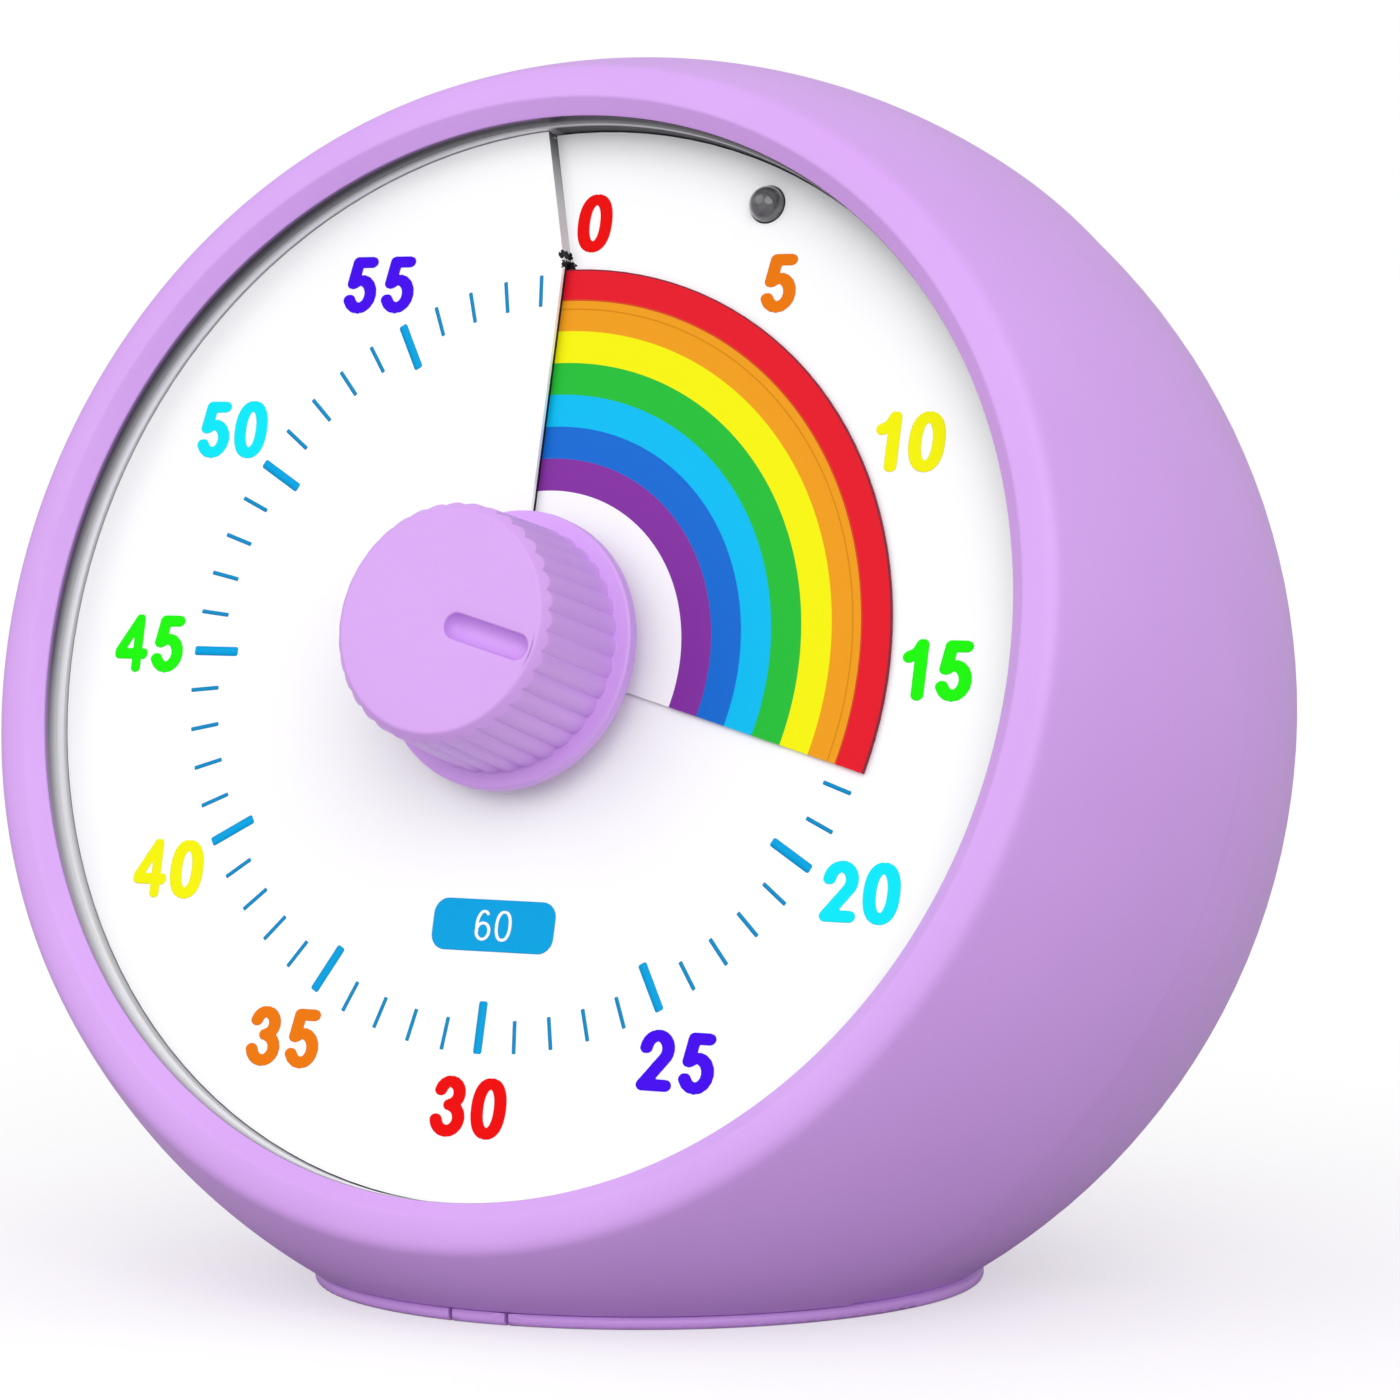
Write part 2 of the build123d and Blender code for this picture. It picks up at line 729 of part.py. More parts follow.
wheel_top = centre_wheel_height + wheel_thickness
with BuildPart() as clutch_spring:
    with BuildSketch(section_plane):
        with BuildLine():
            Polyline(
                (pivot_radius + bearing_gap, collar_bottom),
                (spring_radius, wheel_top + spring_thickness),
                (spring_radius, wheel_top),
                (pivot_radius + bearing_gap, collar_bottom - spring_thickness),
                close=True,
            )
        make_face()
    revolve(axis=dial_axis)
clutch_spring.part.label = "clutch_spring"
export_step(clutch_spring.part, "parts/clutch_spring.step")

clip_top = centre_wheel_height - screw_gap
with BuildPart() as retaining_clip:
    with BuildSketch(dial_plane.offset(clip_top - clip_thickness)):
        Circle(clip_radius)
        Circle(pivot_radius, mode=Mode.SUBTRACT)
        with Locations((clip_radius, 0)):
            mouth_width = 2 * pivot_radius * sin(radians(clip_mouth / 2))
            Rectangle(2 * clip_radius, mouth_width, mode=Mode.SUBTRACT)
    extrude(amount=clip_thickness)
retaining_clip.part.label = "retaining_clip"
export_step(retaining_clip.part, "parts/retaining_clip.step")

# ---- wheel train: the centre wheel drives the third wheel, and that drives the rotor ----

wheel_heights = (-pinion_addendum - root_clearance, wheel_addendum)
pinion_heights = (-wheel_addendum - root_clearance, 0, pinion_addendum)
centre_distance = gear_module * (wheel_teeth + pinion_teeth) / 2
half_pinion_tooth = 180 / pinion_teeth


def polar(angle, radius):
    """A point of the dial plane, at an angle anticlockwise from its 3 o'clock."""
    return Vector(radius * cos(radians(angle)), radius * sin(radians(angle)))


third_centre = polar(third_angle, centre_distance)
rotor_centre = third_centre + polar(rotor_angle, centre_distance)


def gear_section(teeth, heights, turn, centre):
    """The section of a gear with a tooth at the angle turn, about a centre."""
    with BuildSketch() as section:
        with Locations(Location((centre.X, centre.Y), turn)):
            Polygon(*tooth_outline(teeth, heights), align=None)
    return section.sketch


# a pinion's gap faces its wheel's tooth
third_gap = third_angle + 180 + half_pinion_tooth
rotor_gap = rotor_angle + 180 + half_pinion_tooth
centre_teeth = gear_section(wheel_teeth, wheel_heights, third_angle, Vector(0, 0))
third_pinion = gear_section(pinion_teeth, pinion_heights, third_gap, third_centre)
third_teeth = gear_section(wheel_teeth, wheel_heights, rotor_angle, third_centre)
rotor_pinion = gear_section(pinion_teeth, pinion_heights, rotor_gap, rotor_centre)

with BuildPart() as centre_wheel:
    with BuildSketch(dial_plane.offset(centre_wheel_height)):
        add(centre_teeth)
        Circle(pivot_radius + bearing_gap, mode=Mode.SUBTRACT)
    extrude(amount=wheel_thickness)
centre_wheel.part.label = "centre_wheel"
export_step(centre_wheel.part, "parts/centre_wheel.step")

pinion_drop = (pinion_length - wheel_thickness) / 2
with BuildPart() as third_wheel:
    with BuildSketch(dial_plane.offset(third_wheel_height)):
        add(third_teeth)
    extrude(amount=wheel_thickness)
    with BuildSketch(dial_plane.offset(centre_wheel_height - pinion_drop)):
        add(third_pinion)
    extrude(amount=pinion_length)
    with BuildSketch(dial_plane.offset(axle_end)):
        with Locations(third_centre):
            Circle(axle_radius)
    extrude(amount=case_inside - axle_end_gap - axle_end)
third_wheel.part.label = "third_wheel"
export_step(third_wheel.part, "parts/third_wheel.step")

rotor_top = third_wheel_height + wheel_thickness + pinion_length
rotor_post_end = rotor_top + post_length - axle_end_gap
with BuildPart() as rotor:
    with BuildSketch(dial_plane.offset(rotor_height)):
        with Locations(rotor_centre):
            Circle(rotor_radius)
    extrude(amount=rotor_length)
    with BuildSketch(dial_plane.offset(third_wheel_height - pinion_drop)):
        add(rotor_pinion)
    extrude(amount=pinion_length)
    with BuildSketch(dial_plane.offset(axle_end)):
        with Locations(rotor_centre):
            Circle(axle_radius)
    extrude(amount=rotor_post_end + axle_end_gap - axle_end)
rotor.part.label = "rotor"
export_step(rotor.part, "parts/rotor.step")

# ---- motor ----

core_middle = rotor_centre.X - core_shift
core_y = coil_gap + coil_radius + case_wall - case_size / 2
core_offset = rotor_centre.Y - core_y
leg_reach = (core_length - stator_leg) / 2
leg_centres = [core_middle - leg_reach, core_middle + leg_reach]
with BuildPart() as stator:
    with BuildSketch(dial_plane.offset(stator_height)):
        with Locations((core_middle, rotor_centre.Y)):
            Rectangle(core_length, stator_width)
        with Locations(*[(x, (rotor_centre.Y + core_y - core_width / 2) / 2) for x in leg_centres]):
            Rectangle(stator_leg, core_offset + core_width / 2)
        with Locations(rotor_centre):
            Circle(stator_hole, mode=Mode.SUBTRACT)
    extrude(amount=stator_thickness)
stator.part.label = "stator"
export_step(stator.part, "parts/stator.step")

coil_height = stator_height - stator_thickness / 2
coil_plane = Plane(
    origin=dial_plane.from_local_coords((core_middle - coil_length / 2, core_y, coil_height)),
    x_dir=dial_plane.y_dir,
    z_dir=dial_plane.x_dir,
)
with BuildPart() as coil:
    with BuildSketch(coil_plane):
        Circle(coil_radius)
    extrude(amount=coil_length)
    with BuildSketch(dial_plane.offset(stator_height - stator_thickness)):
        with Locations((core_middle, core_y)):
            Rectangle(core_length, core_width)
    extrude(amount=stator_thickness)
coil.part.label = "coil"
export_step(coil.part, "parts/coil.step")

# ---- movement's housing and its mount behind the dial ----

axle_hole = axle_radius + bearing_gap
pivot_hole = pivot_radius + bearing_gap
bush_hole = bush_radius + seat_gap

with BuildPart() as dial_carrier:
    with BuildSketch(dial_plane.offset(case_front)):
        Circle(carrier_radius)
        Circle(bush_hole, mode=Mode.SUBTRACT)
        with Locations((0, -carrier_flat - carrier_radius)):
            Rectangle(2 * carrier_radius, 2 * carrier_radius, mode=Mode.SUBTRACT)
        with Locations(led_centre):
            Circle(led_radius, mode=Mode.SUBTRACT)
        with Locations(*carrier_corners):
            Circle(small_screw_shank + screw_gap, mode=Mode.SUBTRACT)
    extrude(amount=carrier_thickness)
    with BuildSketch(dial_plane.offset(led_tip - led_length)):
        with Locations(led_centre):
            Circle(led_flange + screw_gap)
    extrude(amount=carrier_front - led_tip + led_length, mode=Mode.SUBTRACT)
dial_carrier.part.label = "dial_carrier"
export_step(dial_carrier.part, "parts/dial_carrier.step")

with BuildPart() as movement_case:
    with BuildSketch(dial_plane.offset(lid_inside)):
        RectangleRounded(case_size, case_size, case_corner)
    extrude(amount=case_front - lid_inside)
    with BuildSketch(dial_plane.offset(lid_inside)):
        RectangleRounded(case_size - 2 * case_wall, case_size - 2 * case_wall, case_corner - case_wall)
    extrude(amount=case_inside - lid_inside, mode=Mode.SUBTRACT)
    with BuildSketch(dial_plane.offset(rotor_post_end)):
        with Locations(rotor_centre):
            Circle(post_radius)
    extrude(amount=case_inside - rotor_post_end)
    with BuildSketch(dial_plane.offset(rotor_post_end)):
        with Locations(rotor_centre):
            Circle(axle_hole)
    extrude(amount=post_length, mode=Mode.SUBTRACT)
    with BuildSketch(dial_plane.offset(case_inside - post_length)):
        with Locations(third_centre):
            Circle(post_radius)
    extrude(amount=post_length)
    with BuildSketch(dial_plane.offset(case_inside - post_length)):
        with Locations(third_centre):
            Circle(axle_hole)
    extrude(amount=post_length, mode=Mode.SUBTRACT)
    with BuildSketch(dial_plane.offset(case_inside)):
        Circle(bush_hole)
    extrude(amount=case_wall, mode=Mode.SUBTRACT)
movement_case.part.label = "movement_case"
export_step(movement_case.part, "parts/movement_case.step")

stator_posts = [(x, rotor_centre.Y) for x in leg_centres]
with BuildPart() as movement_lid:
    with BuildSketch(dial_plane.offset(case_rear)):
        RectangleRounded(case_size, case_size, case_corner)
    extrude(amount=lid_thickness)
    with BuildSketch(dial_plane.offset(lid_inside)):
        Circle(pivot_boss)
        Circle(pivot_hole, mode=Mode.SUBTRACT)
        with Locations(third_centre, rotor_centre):
            Circle(post_radius)
            Circle(axle_hole, mode=Mode.SUBTRACT)
    extrude(amount=post_length)
    with BuildSketch(dial_plane.offset(lid_inside)):
        with Locations(*stator_posts):
            Circle(post_radius)
    extrude(amount=stator_height - lid_inside)
movement_lid.part.label = "movement_lid"
export_step(movement_lid.part, "parts/movement_lid.step")

with BuildPart() as threaded_bush:
    with BuildSketch(dial_plane.offset(case_inside)):
        Circle(bush_radius)
        Circle(arbor_radius + bearing_gap, mode=Mode.SUBTRACT)
    extrude(amount=bush_top - case_inside)
    with BuildSketch(dial_plane.offset(case_inside)):
        Circle(bush_flange)
        Circle(arbor_radius + bearing_gap, mode=Mode.SUBTRACT)
    extrude(amount=-bush_flange_thickness)
threaded_bush.part.label = "threaded_bush"
export_step(threaded_bush.part, "parts/threaded_bush.step")

with BuildPart() as fixing_nut:
    with BuildSketch(dial_plane.offset(carrier_front)):
        RegularPolygon(nut_flats / 2, 6, major_radius=False)
        Circle(bush_radius, mode=Mode.SUBTRACT)
    extrude(amount=nut_thickness)
fixing_nut.part.label = "fixing_nut"
export_step(fixing_nut.part, "parts/fixing_nut.step")

with BuildPart() as circuit_board:
    with BuildSketch(dial_plane.offset(case_rear)):
        Rectangle(board_width, board_height)
    extrude(amount=-board_thickness)
    with BuildSketch(dial_plane.offset(case_rear - board_thickness)):
        Rectangle(chip_size, chip_size)
    extrude(amount=-chip_thickness)
circuit_board.part.label = "circuit_board"
export_step(circuit_board.part, "parts/circuit_board.step")

led_foot = dial_plane.from_local_coords((*led_centre, 0))
with BuildPart() as indicator_led:
    with BuildSketch(Plane(origin=led_foot, x_dir=(1, 0, 0), z_dir=upward * -1)):
        with BuildLine():
            led_base = led_tip - led_length
            Polyline(
                (0, led_tip),
                (0, led_base),
                (led_flange, led_base),
                (led_flange, led_base + led_flange_thickness),
                (led_radius, led_base + led_flange_thickness),
                (led_radius, led_tip - led_radius),
            )
            CenterArc((0, led_tip - led_radius), led_radius, 0, 90)
        make_face()
    revolve(axis=Axis(led_foot, outward))
indicator_led.part.label = "indicator_led"
export_step(indicator_led.part, "parts/indicator_led.step")


def screw(plane, places, shank, head, length, head_height):
    """Screws with their heads behind a plane and their shanks ahead of it."""
    with BuildPart() as screws:
        with BuildSketch(plane):
            with Locations(*places):
                Circle(shank)
        extrude(amount=length)
        with BuildSketch(plane):
            with Locations(*places):
                Circle(head)
        extrude(amount=-head_height)
    return screws.part


carrier_screws = screw(
    dial_plane.offset(case_front),
    carrier_corners,
    small_screw_shank,
    small_screw_head,
    carrier_screw_length,
    small_head_height,
)
carrier_screws.label = "carrier_screws"
export_step(carrier_screws, "parts/carrier_screws.step")

case_screws = screw(
    dial_plane.offset(well_floor),
    case_corners,
    case_screw_shank,
    case_screw_head,
    case_screw_length,
    case_head_height,
)
case_screws.label = "case_screws"
export_step(case_screws, "parts/case_screws.step")

# ---- speaker and sound switch, inside the rear shell ----

with BuildPart() as speaker:
    with BuildSketch(rear_plane.offset(speaker_front)):
        with Locations((0, speaker_height)):
            Circle(speaker_radius)
    extrude(amount=-speaker_rim)
    with BuildSketch(rear_plane.offset(speaker_front - speaker_rim)):
        with Locations((0, speaker_height)):
            Circle(speaker_magnet)
    extrude(amount=speaker_rim - speaker_depth)
speaker.part.label = "speaker"
export_step(speaker.part, "parts/speaker.step")

with BuildPart() as switch_board:
    with BuildSketch(rear_plane.offset(switch_board_face)):
        with Locations((0, switch_height)):
            Rectangle(switch_board_width, switch_board_height)
    extrude(amount=-board_thickness)
switch_board.part.label = "switch_board"
export_step(switch_board.part, "parts/switch_board.step")

switch_face = switch_board_face + switch_body_depth
stem_reach = switch_stem + switch_travel + 2 * switch_gap
with BuildPart() as switch_body:
    with BuildSketch(rear_plane.offset(switch_board_face)):
        with Locations((0, switch_height)):
            Rectangle(switch_length, switch_body_height)
    extrude(amount=switch_body_depth)
    with BuildSketch(rear_plane.offset(switch_face)):
        with Locations((0, switch_height)):
            Rectangle(stem_reach, switch_stem + 2 * switch_gap)
    extrude(amount=-switch_stem_depth - switch_gap, mode=Mode.SUBTRACT)
switch_body.part.label = "switch_body"
export_step(switch_body.part, "parts/switch_body.step")

switch_fall = switch_height - centre_height
switch_surface = sqrt(rear_radius**2 - switch_fall**2)
with BuildPart() as switch_slider:
    with BuildSketch(rear_plane.offset(switch_face - switch_stem_depth)):
        with Locations((-switch_travel / 2, switch_height)):
            Rectangle(switch_stem, switch_stem)
    extrude(amount=switch_stem_depth + switch_gap)
    with BuildSketch(rear_plane.offset(switch_face + switch_gap)):
        with Locations((-switch_travel / 2, switch_height)):
            Rectangle(switch_cap_width, switch_cap_height)
    extrude(amount=switch_surface + switch_stand - switch_face - switch_gap)
    chamfer(switch_slider.faces().sort_by(Axis.Y)[-1].edges(), switch_gap)
switch_slider.part.label = "switch_slider"
export_step(switch_slider.part, "parts/switch_slider.step")

# ---- base ----

cell_height = spigot_top + cover_gap + box_gap + cell_radius
bay_top = cell_height + cell_radius + cell_room
ledge_radius = opening_radius + ledge_width + box_gap

with BuildPart() as battery_box:
    with BuildSketch(Plane.XY.offset(box_ring_bottom)):
        Circle(box_radius)
    extrude(amount=box_floor + box_wall - box_ring_bottom)
    with BuildSketch(Plane.XY.offset(box_floor)):
        Circle(ledge_radius)
    extrude(amount=box_wall)
    with BuildSketch(Plane.XY.offset(box_floor)):
        RectangleRounded(bay_length + 2 * box_wall, bay_width + 2 * box_wall, bay_corner + box_wall)
    extrude(amount=bay_top + box_wall - box_floor)
    with BuildSketch(Plane.XY.offset(box_ring_bottom)):
        Circle(spigot_radius + cover_gap)
    extrude(amount=box_floor - box_ring_bottom, mode=Mode.SUBTRACT)
    with BuildSketch(Plane.XY.offset(box_floor)):
        RectangleRounded(bay_length, bay_width, bay_corner)
    extrude(amount=bay_top - box_floor, mode=Mode.SUBTRACT)
battery_box.part.label = "battery_box"
export_step(battery_box.part, "parts/battery_box.step")

cell_sides = (-1, 1)
with BuildPart() as battery_cells:
    for side in cell_sides:
        nub_end = side * (bay_length / 2 - contact_thickness)
        nub_foot = nub_end - side * cell_nub
        lane = side * cell_pitch / 2
        with BuildSketch(Plane(origin=(nub_end, lane, cell_height), z_dir=(-side, 0, 0))):
            Circle(cell_nub_radius)
        extrude(amount=cell_nub)
        with BuildSketch(Plane(origin=(nub_foot, lane, cell_height), z_dir=(-side, 0, 0))):
            Circle(cell_radius)
        extrude(amount=cell_length - cell_nub)
battery_cells.part.label = "battery_cells"
export_step(battery_cells.part, "parts/battery_cells.step")

with BuildPart() as contact_plates:
    for side in cell_sides:
        foot = (side * bay_length / 2, side * cell_pitch / 2, cell_height)
        with BuildSketch(Plane(origin=foot, z_dir=(-side, 0, 0))):
            Rectangle(contact_size, contact_size)
        extrude(amount=contact_thickness)
contact_plates.part.label = "contact_plates"
export_step(contact_plates.part, "parts/contact_plates.step")

with BuildPart() as contact_springs:
    for side in cell_sides:
        with BuildSketch(Plane(origin=(-side * bay_length / 2, side * cell_pitch / 2, cell_height))):
            with BuildLine():
                reach = side * (contact_thickness + spring_room)
                half = contact_size / 2
                ThreePointArc((0, -half), (reach, 0), (0, half))
                Line((0, half), (0, half - spring_foot))
                inner = reach - side * contact_thickness
                ThreePointArc((0, half - spring_foot), (inner, 0), (0, spring_foot - half))
                Line((0, spring_foot - half), (0, -half))
            make_face()
        extrude(amount=spring_width / 2, both=True)
contact_springs.part.label = "contact_springs"
export_step(contact_springs.part, "parts/contact_springs.step")

with BuildPart() as base_cover:
    with BuildSketch(Plane.XY):
        Circle(cover_radius)
    extrude(amount=cover_height)
    fillet(base_cover.faces().sort_by(Axis.Z)[0].edges(), cover_round)
    with BuildSketch(Plane.XY.offset(cover_height)):
        Circle(spigot_radius)
        Circle(spigot_radius - spigot_wall, mode=Mode.SUBTRACT)
    extrude(amount=spigot_top - cover_height)
    with BuildSketch(Plane.XY.offset(cover_height)):
        for turn in range(rib_count):
            with Locations(Location((0, 0), 180 * turn / rib_count)):
                Rectangle(2 * spigot_radius - spigot_wall, rib_thickness)
    extrude(amount=rib_height)
    with BuildSketch(Plane.XY):
        with Locations(*[(side * pry_tab_width / 2, -cover_radius) for side in (-1, 1)]):
            Rectangle(pry_slot, 2 * pry_depth)
    extrude(amount=cover_height, mode=Mode.SUBTRACT)
base_cover.part.label = "base_cover"
export_step(base_cover.part, "parts/base_cover.step")
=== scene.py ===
import json
from math import atan, pi, radians, tan

import bmesh
import bpy
import numpy as np
from mathutils import Matrix, Vector


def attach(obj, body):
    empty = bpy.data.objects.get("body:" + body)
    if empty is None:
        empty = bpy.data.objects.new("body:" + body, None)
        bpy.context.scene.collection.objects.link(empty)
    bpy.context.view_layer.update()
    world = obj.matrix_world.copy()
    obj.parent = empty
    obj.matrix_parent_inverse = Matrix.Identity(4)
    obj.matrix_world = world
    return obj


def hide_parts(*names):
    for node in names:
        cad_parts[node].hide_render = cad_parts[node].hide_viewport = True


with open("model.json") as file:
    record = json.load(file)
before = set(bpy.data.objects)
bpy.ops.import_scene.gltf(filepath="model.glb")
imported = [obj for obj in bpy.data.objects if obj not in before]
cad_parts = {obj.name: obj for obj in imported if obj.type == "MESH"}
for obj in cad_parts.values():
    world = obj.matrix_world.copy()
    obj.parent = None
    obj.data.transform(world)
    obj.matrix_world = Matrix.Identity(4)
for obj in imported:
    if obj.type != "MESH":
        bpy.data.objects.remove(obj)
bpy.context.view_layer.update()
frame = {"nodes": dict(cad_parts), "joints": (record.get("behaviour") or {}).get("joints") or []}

# A ball-shaped desk timer in lilac ABS: a white dial with coloured digits, a rainbow film that
# winds out of a slit, and a ribbed knob. Lengths are millimetres in the dial's own frame (x to the
# right, y up along the dial, h out of it) until dial_points puts them into the row's frame.

MM = 0.001
nodes = frame["nodes"]
knob_turn = next(joint for joint in frame["joints"] if joint["name"] == "knob_turn")
OUTWARD = -np.array(knob_turn["axis"])
RIGHT = np.array([1.0, 0.0, 0.0])
UP = np.cross(OUTWARD, RIGHT)
DIAL = np.array(knob_turn["pos_m"]) / MM
DIAL_TURN = Matrix(np.column_stack([RIGHT, UP, OUTWARD]).tolist()).to_euler()

# ---- sizes ----

# body
front_radius = 54.15
rear_radius = 53.9
wall = 2.2
dial_offset = 20.4
centre_height = 47.4
lap_gap = 0.1
lap_height = 1.6
shell_bottom = 1.15
opening_radius = 26.9

# rim
crease_height = 3.85
crease_trim = 0.75
rim_radius = 45.7
rim_height = 4.34
rim_crown = 0.12
rim_trim = 0.16
lip_radius = 44.44
lip_height = 3.27
lip_bottom = 3.1
lip_trim = 0.05
liner_bore = 44.3
liner_wall = 0.9
liner_step = 0.1
liner_line = 1.5
liner_trim = 0.04
liner_foot = -2.1

# posts inside the front shell
screw_count = 4
case_screw_angle = 45.0
case_screw_ring = 47.0
case_boss = 3.6
carrier_screw_angle = 60.0
carrier_ring = 47.3
carrier_boss = 1.8
carrier_front = -3.0
case_post_length = 14.4
carrier_post_length = 4.2
# share of the wall by which a post runs into it
post_sink = 0.25

# dial
plate_start = -0.77
dial_pitch = 1.2
plate_radius = 44.2
slit_end = 33.2
seam_offset = 1.2
seam_lean = 3.0
led_angle = 23.5
led_ring = 41.2
led_radius = 1.5
led_rim = -2.0
led_tip = 0.8

# knob
flange_radius = 11.4
flange_bottom = 2.45
boss_bottom = 1.2
flange_top = 3.65
flange_trim = 0.3
grip_foot = 10.2
grip_top = 9.72
ribs = 36
rib_radius = 1.33
groove_phase = -2.0
disc_setting = 105.0
knob_face = 14.0
face_radius = 9.05
chamfer_height = 0.9
chamfer_trim = 0.22
pointer_start = 0.55
pointer_end = 8.55
pointer_width = 2.1
pointer_straight = 0.3
pointer_trim = 0.14
knob_skin = 1.7
knob_boss = 4.4
arbor_hole = 2.55
arbor_flat = 2.05
arbor_end = 9.05
rib_top_trim = 0.12
rib_foot_trim = 0.08
flange_under_trim = 0.15
# the trim round the face starts less than this inside its edge
face_rest = 0.6

# print
ink_lift = 0.012
ink_film = 0.02
digit_height = 4.92
digit_width = 3.2
digit_stroke = 1.12
digit_slimming = 1.18
digit_pitch = 3.65
digit_cell = 0.08
# the squared slope of a distance counts as at least this where it fades, midway between strokes
digit_slope = 0.25
tick_outer = 32.08
tick_inner = 29.4
tick_width = 0.34
hour_tick_inner = 27.81
hour_tick_width = 0.77
# round ends: where their curve starts, in radians, and their length beside the width
cap_start = 0.35
cap_length = 0.3
# how far the scale is printed off its place, (x, y), at its start and at its end
tick_drift = [(-0.28, -0.02), (0.3, -0.12)]
plaque_centre = (0.0, -21.8)
plaque_width = 11.2
plaque_height = 4.2
plaque_corner = 1.3
plaque_digit_height = 2.5
plaque_digit_width = 1.5
plaque_digit_stroke = 0.27
plaque_digit_pitch = 1.85
plaque_margin = 0.3
plaque_cell = 0.14
plaque_ink_gap = 0.004

# rainbow
disc_radius = 32.5

# camera: a 147 mm lens a little to the right of the dial
CAMERA_PLACE = (0.23361, -0.41479, 0.07660)
CAMERA_FORWARD = (-0.48186, 0.87423, -0.05944)
CAMERA_RIGHT = (0.87586, 0.48255, -0.00316)
CAMERA_LENS = 147.0


# ---- fineness of the meshes ----

# points nearer than this, in mm, are one point: in a computed surface and in a CAD mesh
WELD = 0.0005
CAD_WELD = 0.001
# a corner of a CAD mesh lies on a ball within this, in mm, and its face looks along the spoke
BALL_SLACK = 0.02
BALL_FACING = 0.97
SHELL_COLUMNS = 720
SHELL_ROWS = 40
INNER_ROWS = 30
RIM_STEPS = 6
POST_COLUMNS = 24
RING_COLUMNS = 360
POINTS_PER_RIB = 16
GROOVE_ROWS = 13
GROOVE_EDGE_ROWS = 5
KNOB_STEPS = 5
DOME_COLUMNS = 48
DOME_ROWS = 14
CAP_ROWS = 5


# ---- geometry ----


def dial_points(x, y, h):
    """Points of the dial's frame, in mm, as points of the row's frame in metres."""
    x, y, h = np.broadcast_arrays(x, y, h)
    return MM * (DIAL + x[..., None] * RIGHT + y[..., None] * UP + h[..., None] * OUTWARD)


def turned(radius, height, angle):
    """Points at a radius from the dial's axis, a height and an angle clockwise from the top."""
    return dial_points(radius * np.sin(angle), radius * np.cos(angle), height)


def rounded(corners, trims, steps=4):
    """Rows of points through a line of corners. Each corner that has a trim is swept by a quadratic
    curve, (1-t)^2 A + 2t(1-t) B + t^2 C, from a trim before the corner B to a trim after it."""
    rows = []
    share = np.linspace(0, 1, steps + 1)[:, None, None]
    for number, trim in enumerate(trims):
        corner = corners[number]
        if not trim:
            rows.append(corner[None])
            continue
        before = corners[number - 1] - corner
        after = corners[number + 1] - corner
        start = corner + trim * before / np.linalg.norm(before, axis=-1, keepdims=True)
        end = corner + trim * after / np.linalg.norm(after, axis=-1, keepdims=True)
        rows.append((1 - share) ** 2 * start + 2 * share * (1 - share) * corner + share**2 * end)
    return np.concatenate(rows)


def grid_faces(rows, columns, closed_rows, closed_columns):
    """Corner numbers of the cells of a grid that may close on itself in either direction."""
    number = np.arange(rows * columns).reshape(rows, columns)
    if closed_rows:
        number = np.vstack([number, number[:1]])
    if closed_columns:
        number = np.hstack([number, number[:, :1]])
    cells = [number[:-1, :-1], number[:-1, 1:], number[1:, 1:], number[1:, :-1]]
    return np.stack(cells, axis=-1).reshape(-1, 4)


def piece(name, parts, body, material, stands_for=(), crease=30.0, closed=True):
    """An object made of parts, each of them points and one or more arrays of faces. Points that
    coincide are merged, closed skins are turned outwards, and edges sharper than the crease stay
    sharp."""
    offset = 0
    points = []
    faces = []
    for part_points, *face_sets in parts:
        flat = part_points.reshape(-1, 3)
        points.append(flat)
        for cells in face_sets:
            faces.extend((cells + offset).tolist())
        offset += len(flat)
    mesh = bpy.data.meshes.new(name)
    mesh.from_pydata(np.concatenate(points), [], faces)
    made = bmesh.new()
    made.from_mesh(mesh)
    bmesh.ops.remove_doubles(made, verts=made.verts, dist=WELD * MM)
    if closed:
        bmesh.ops.recalc_face_normals(made, faces=made.faces)
    made.to_mesh(mesh)
    made.free()
    mesh.shade_smooth()
    mesh.set_sharp_from_angle(angle=radians(crease))
    return finished(name, mesh, body, material, stands_for)


def finished(name, mesh, body, material, stands_for=()):
    """The object of a finished mesh, on its body and with its finish."""
    shown = bpy.data.objects.new(name, mesh)
    bpy.context.scene.collection.objects.link(shown)
    mesh.materials.clear()
    mesh.materials.append(material)
    if stands_for:
        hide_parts(*stands_for)
    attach(shown, body)
    return shown


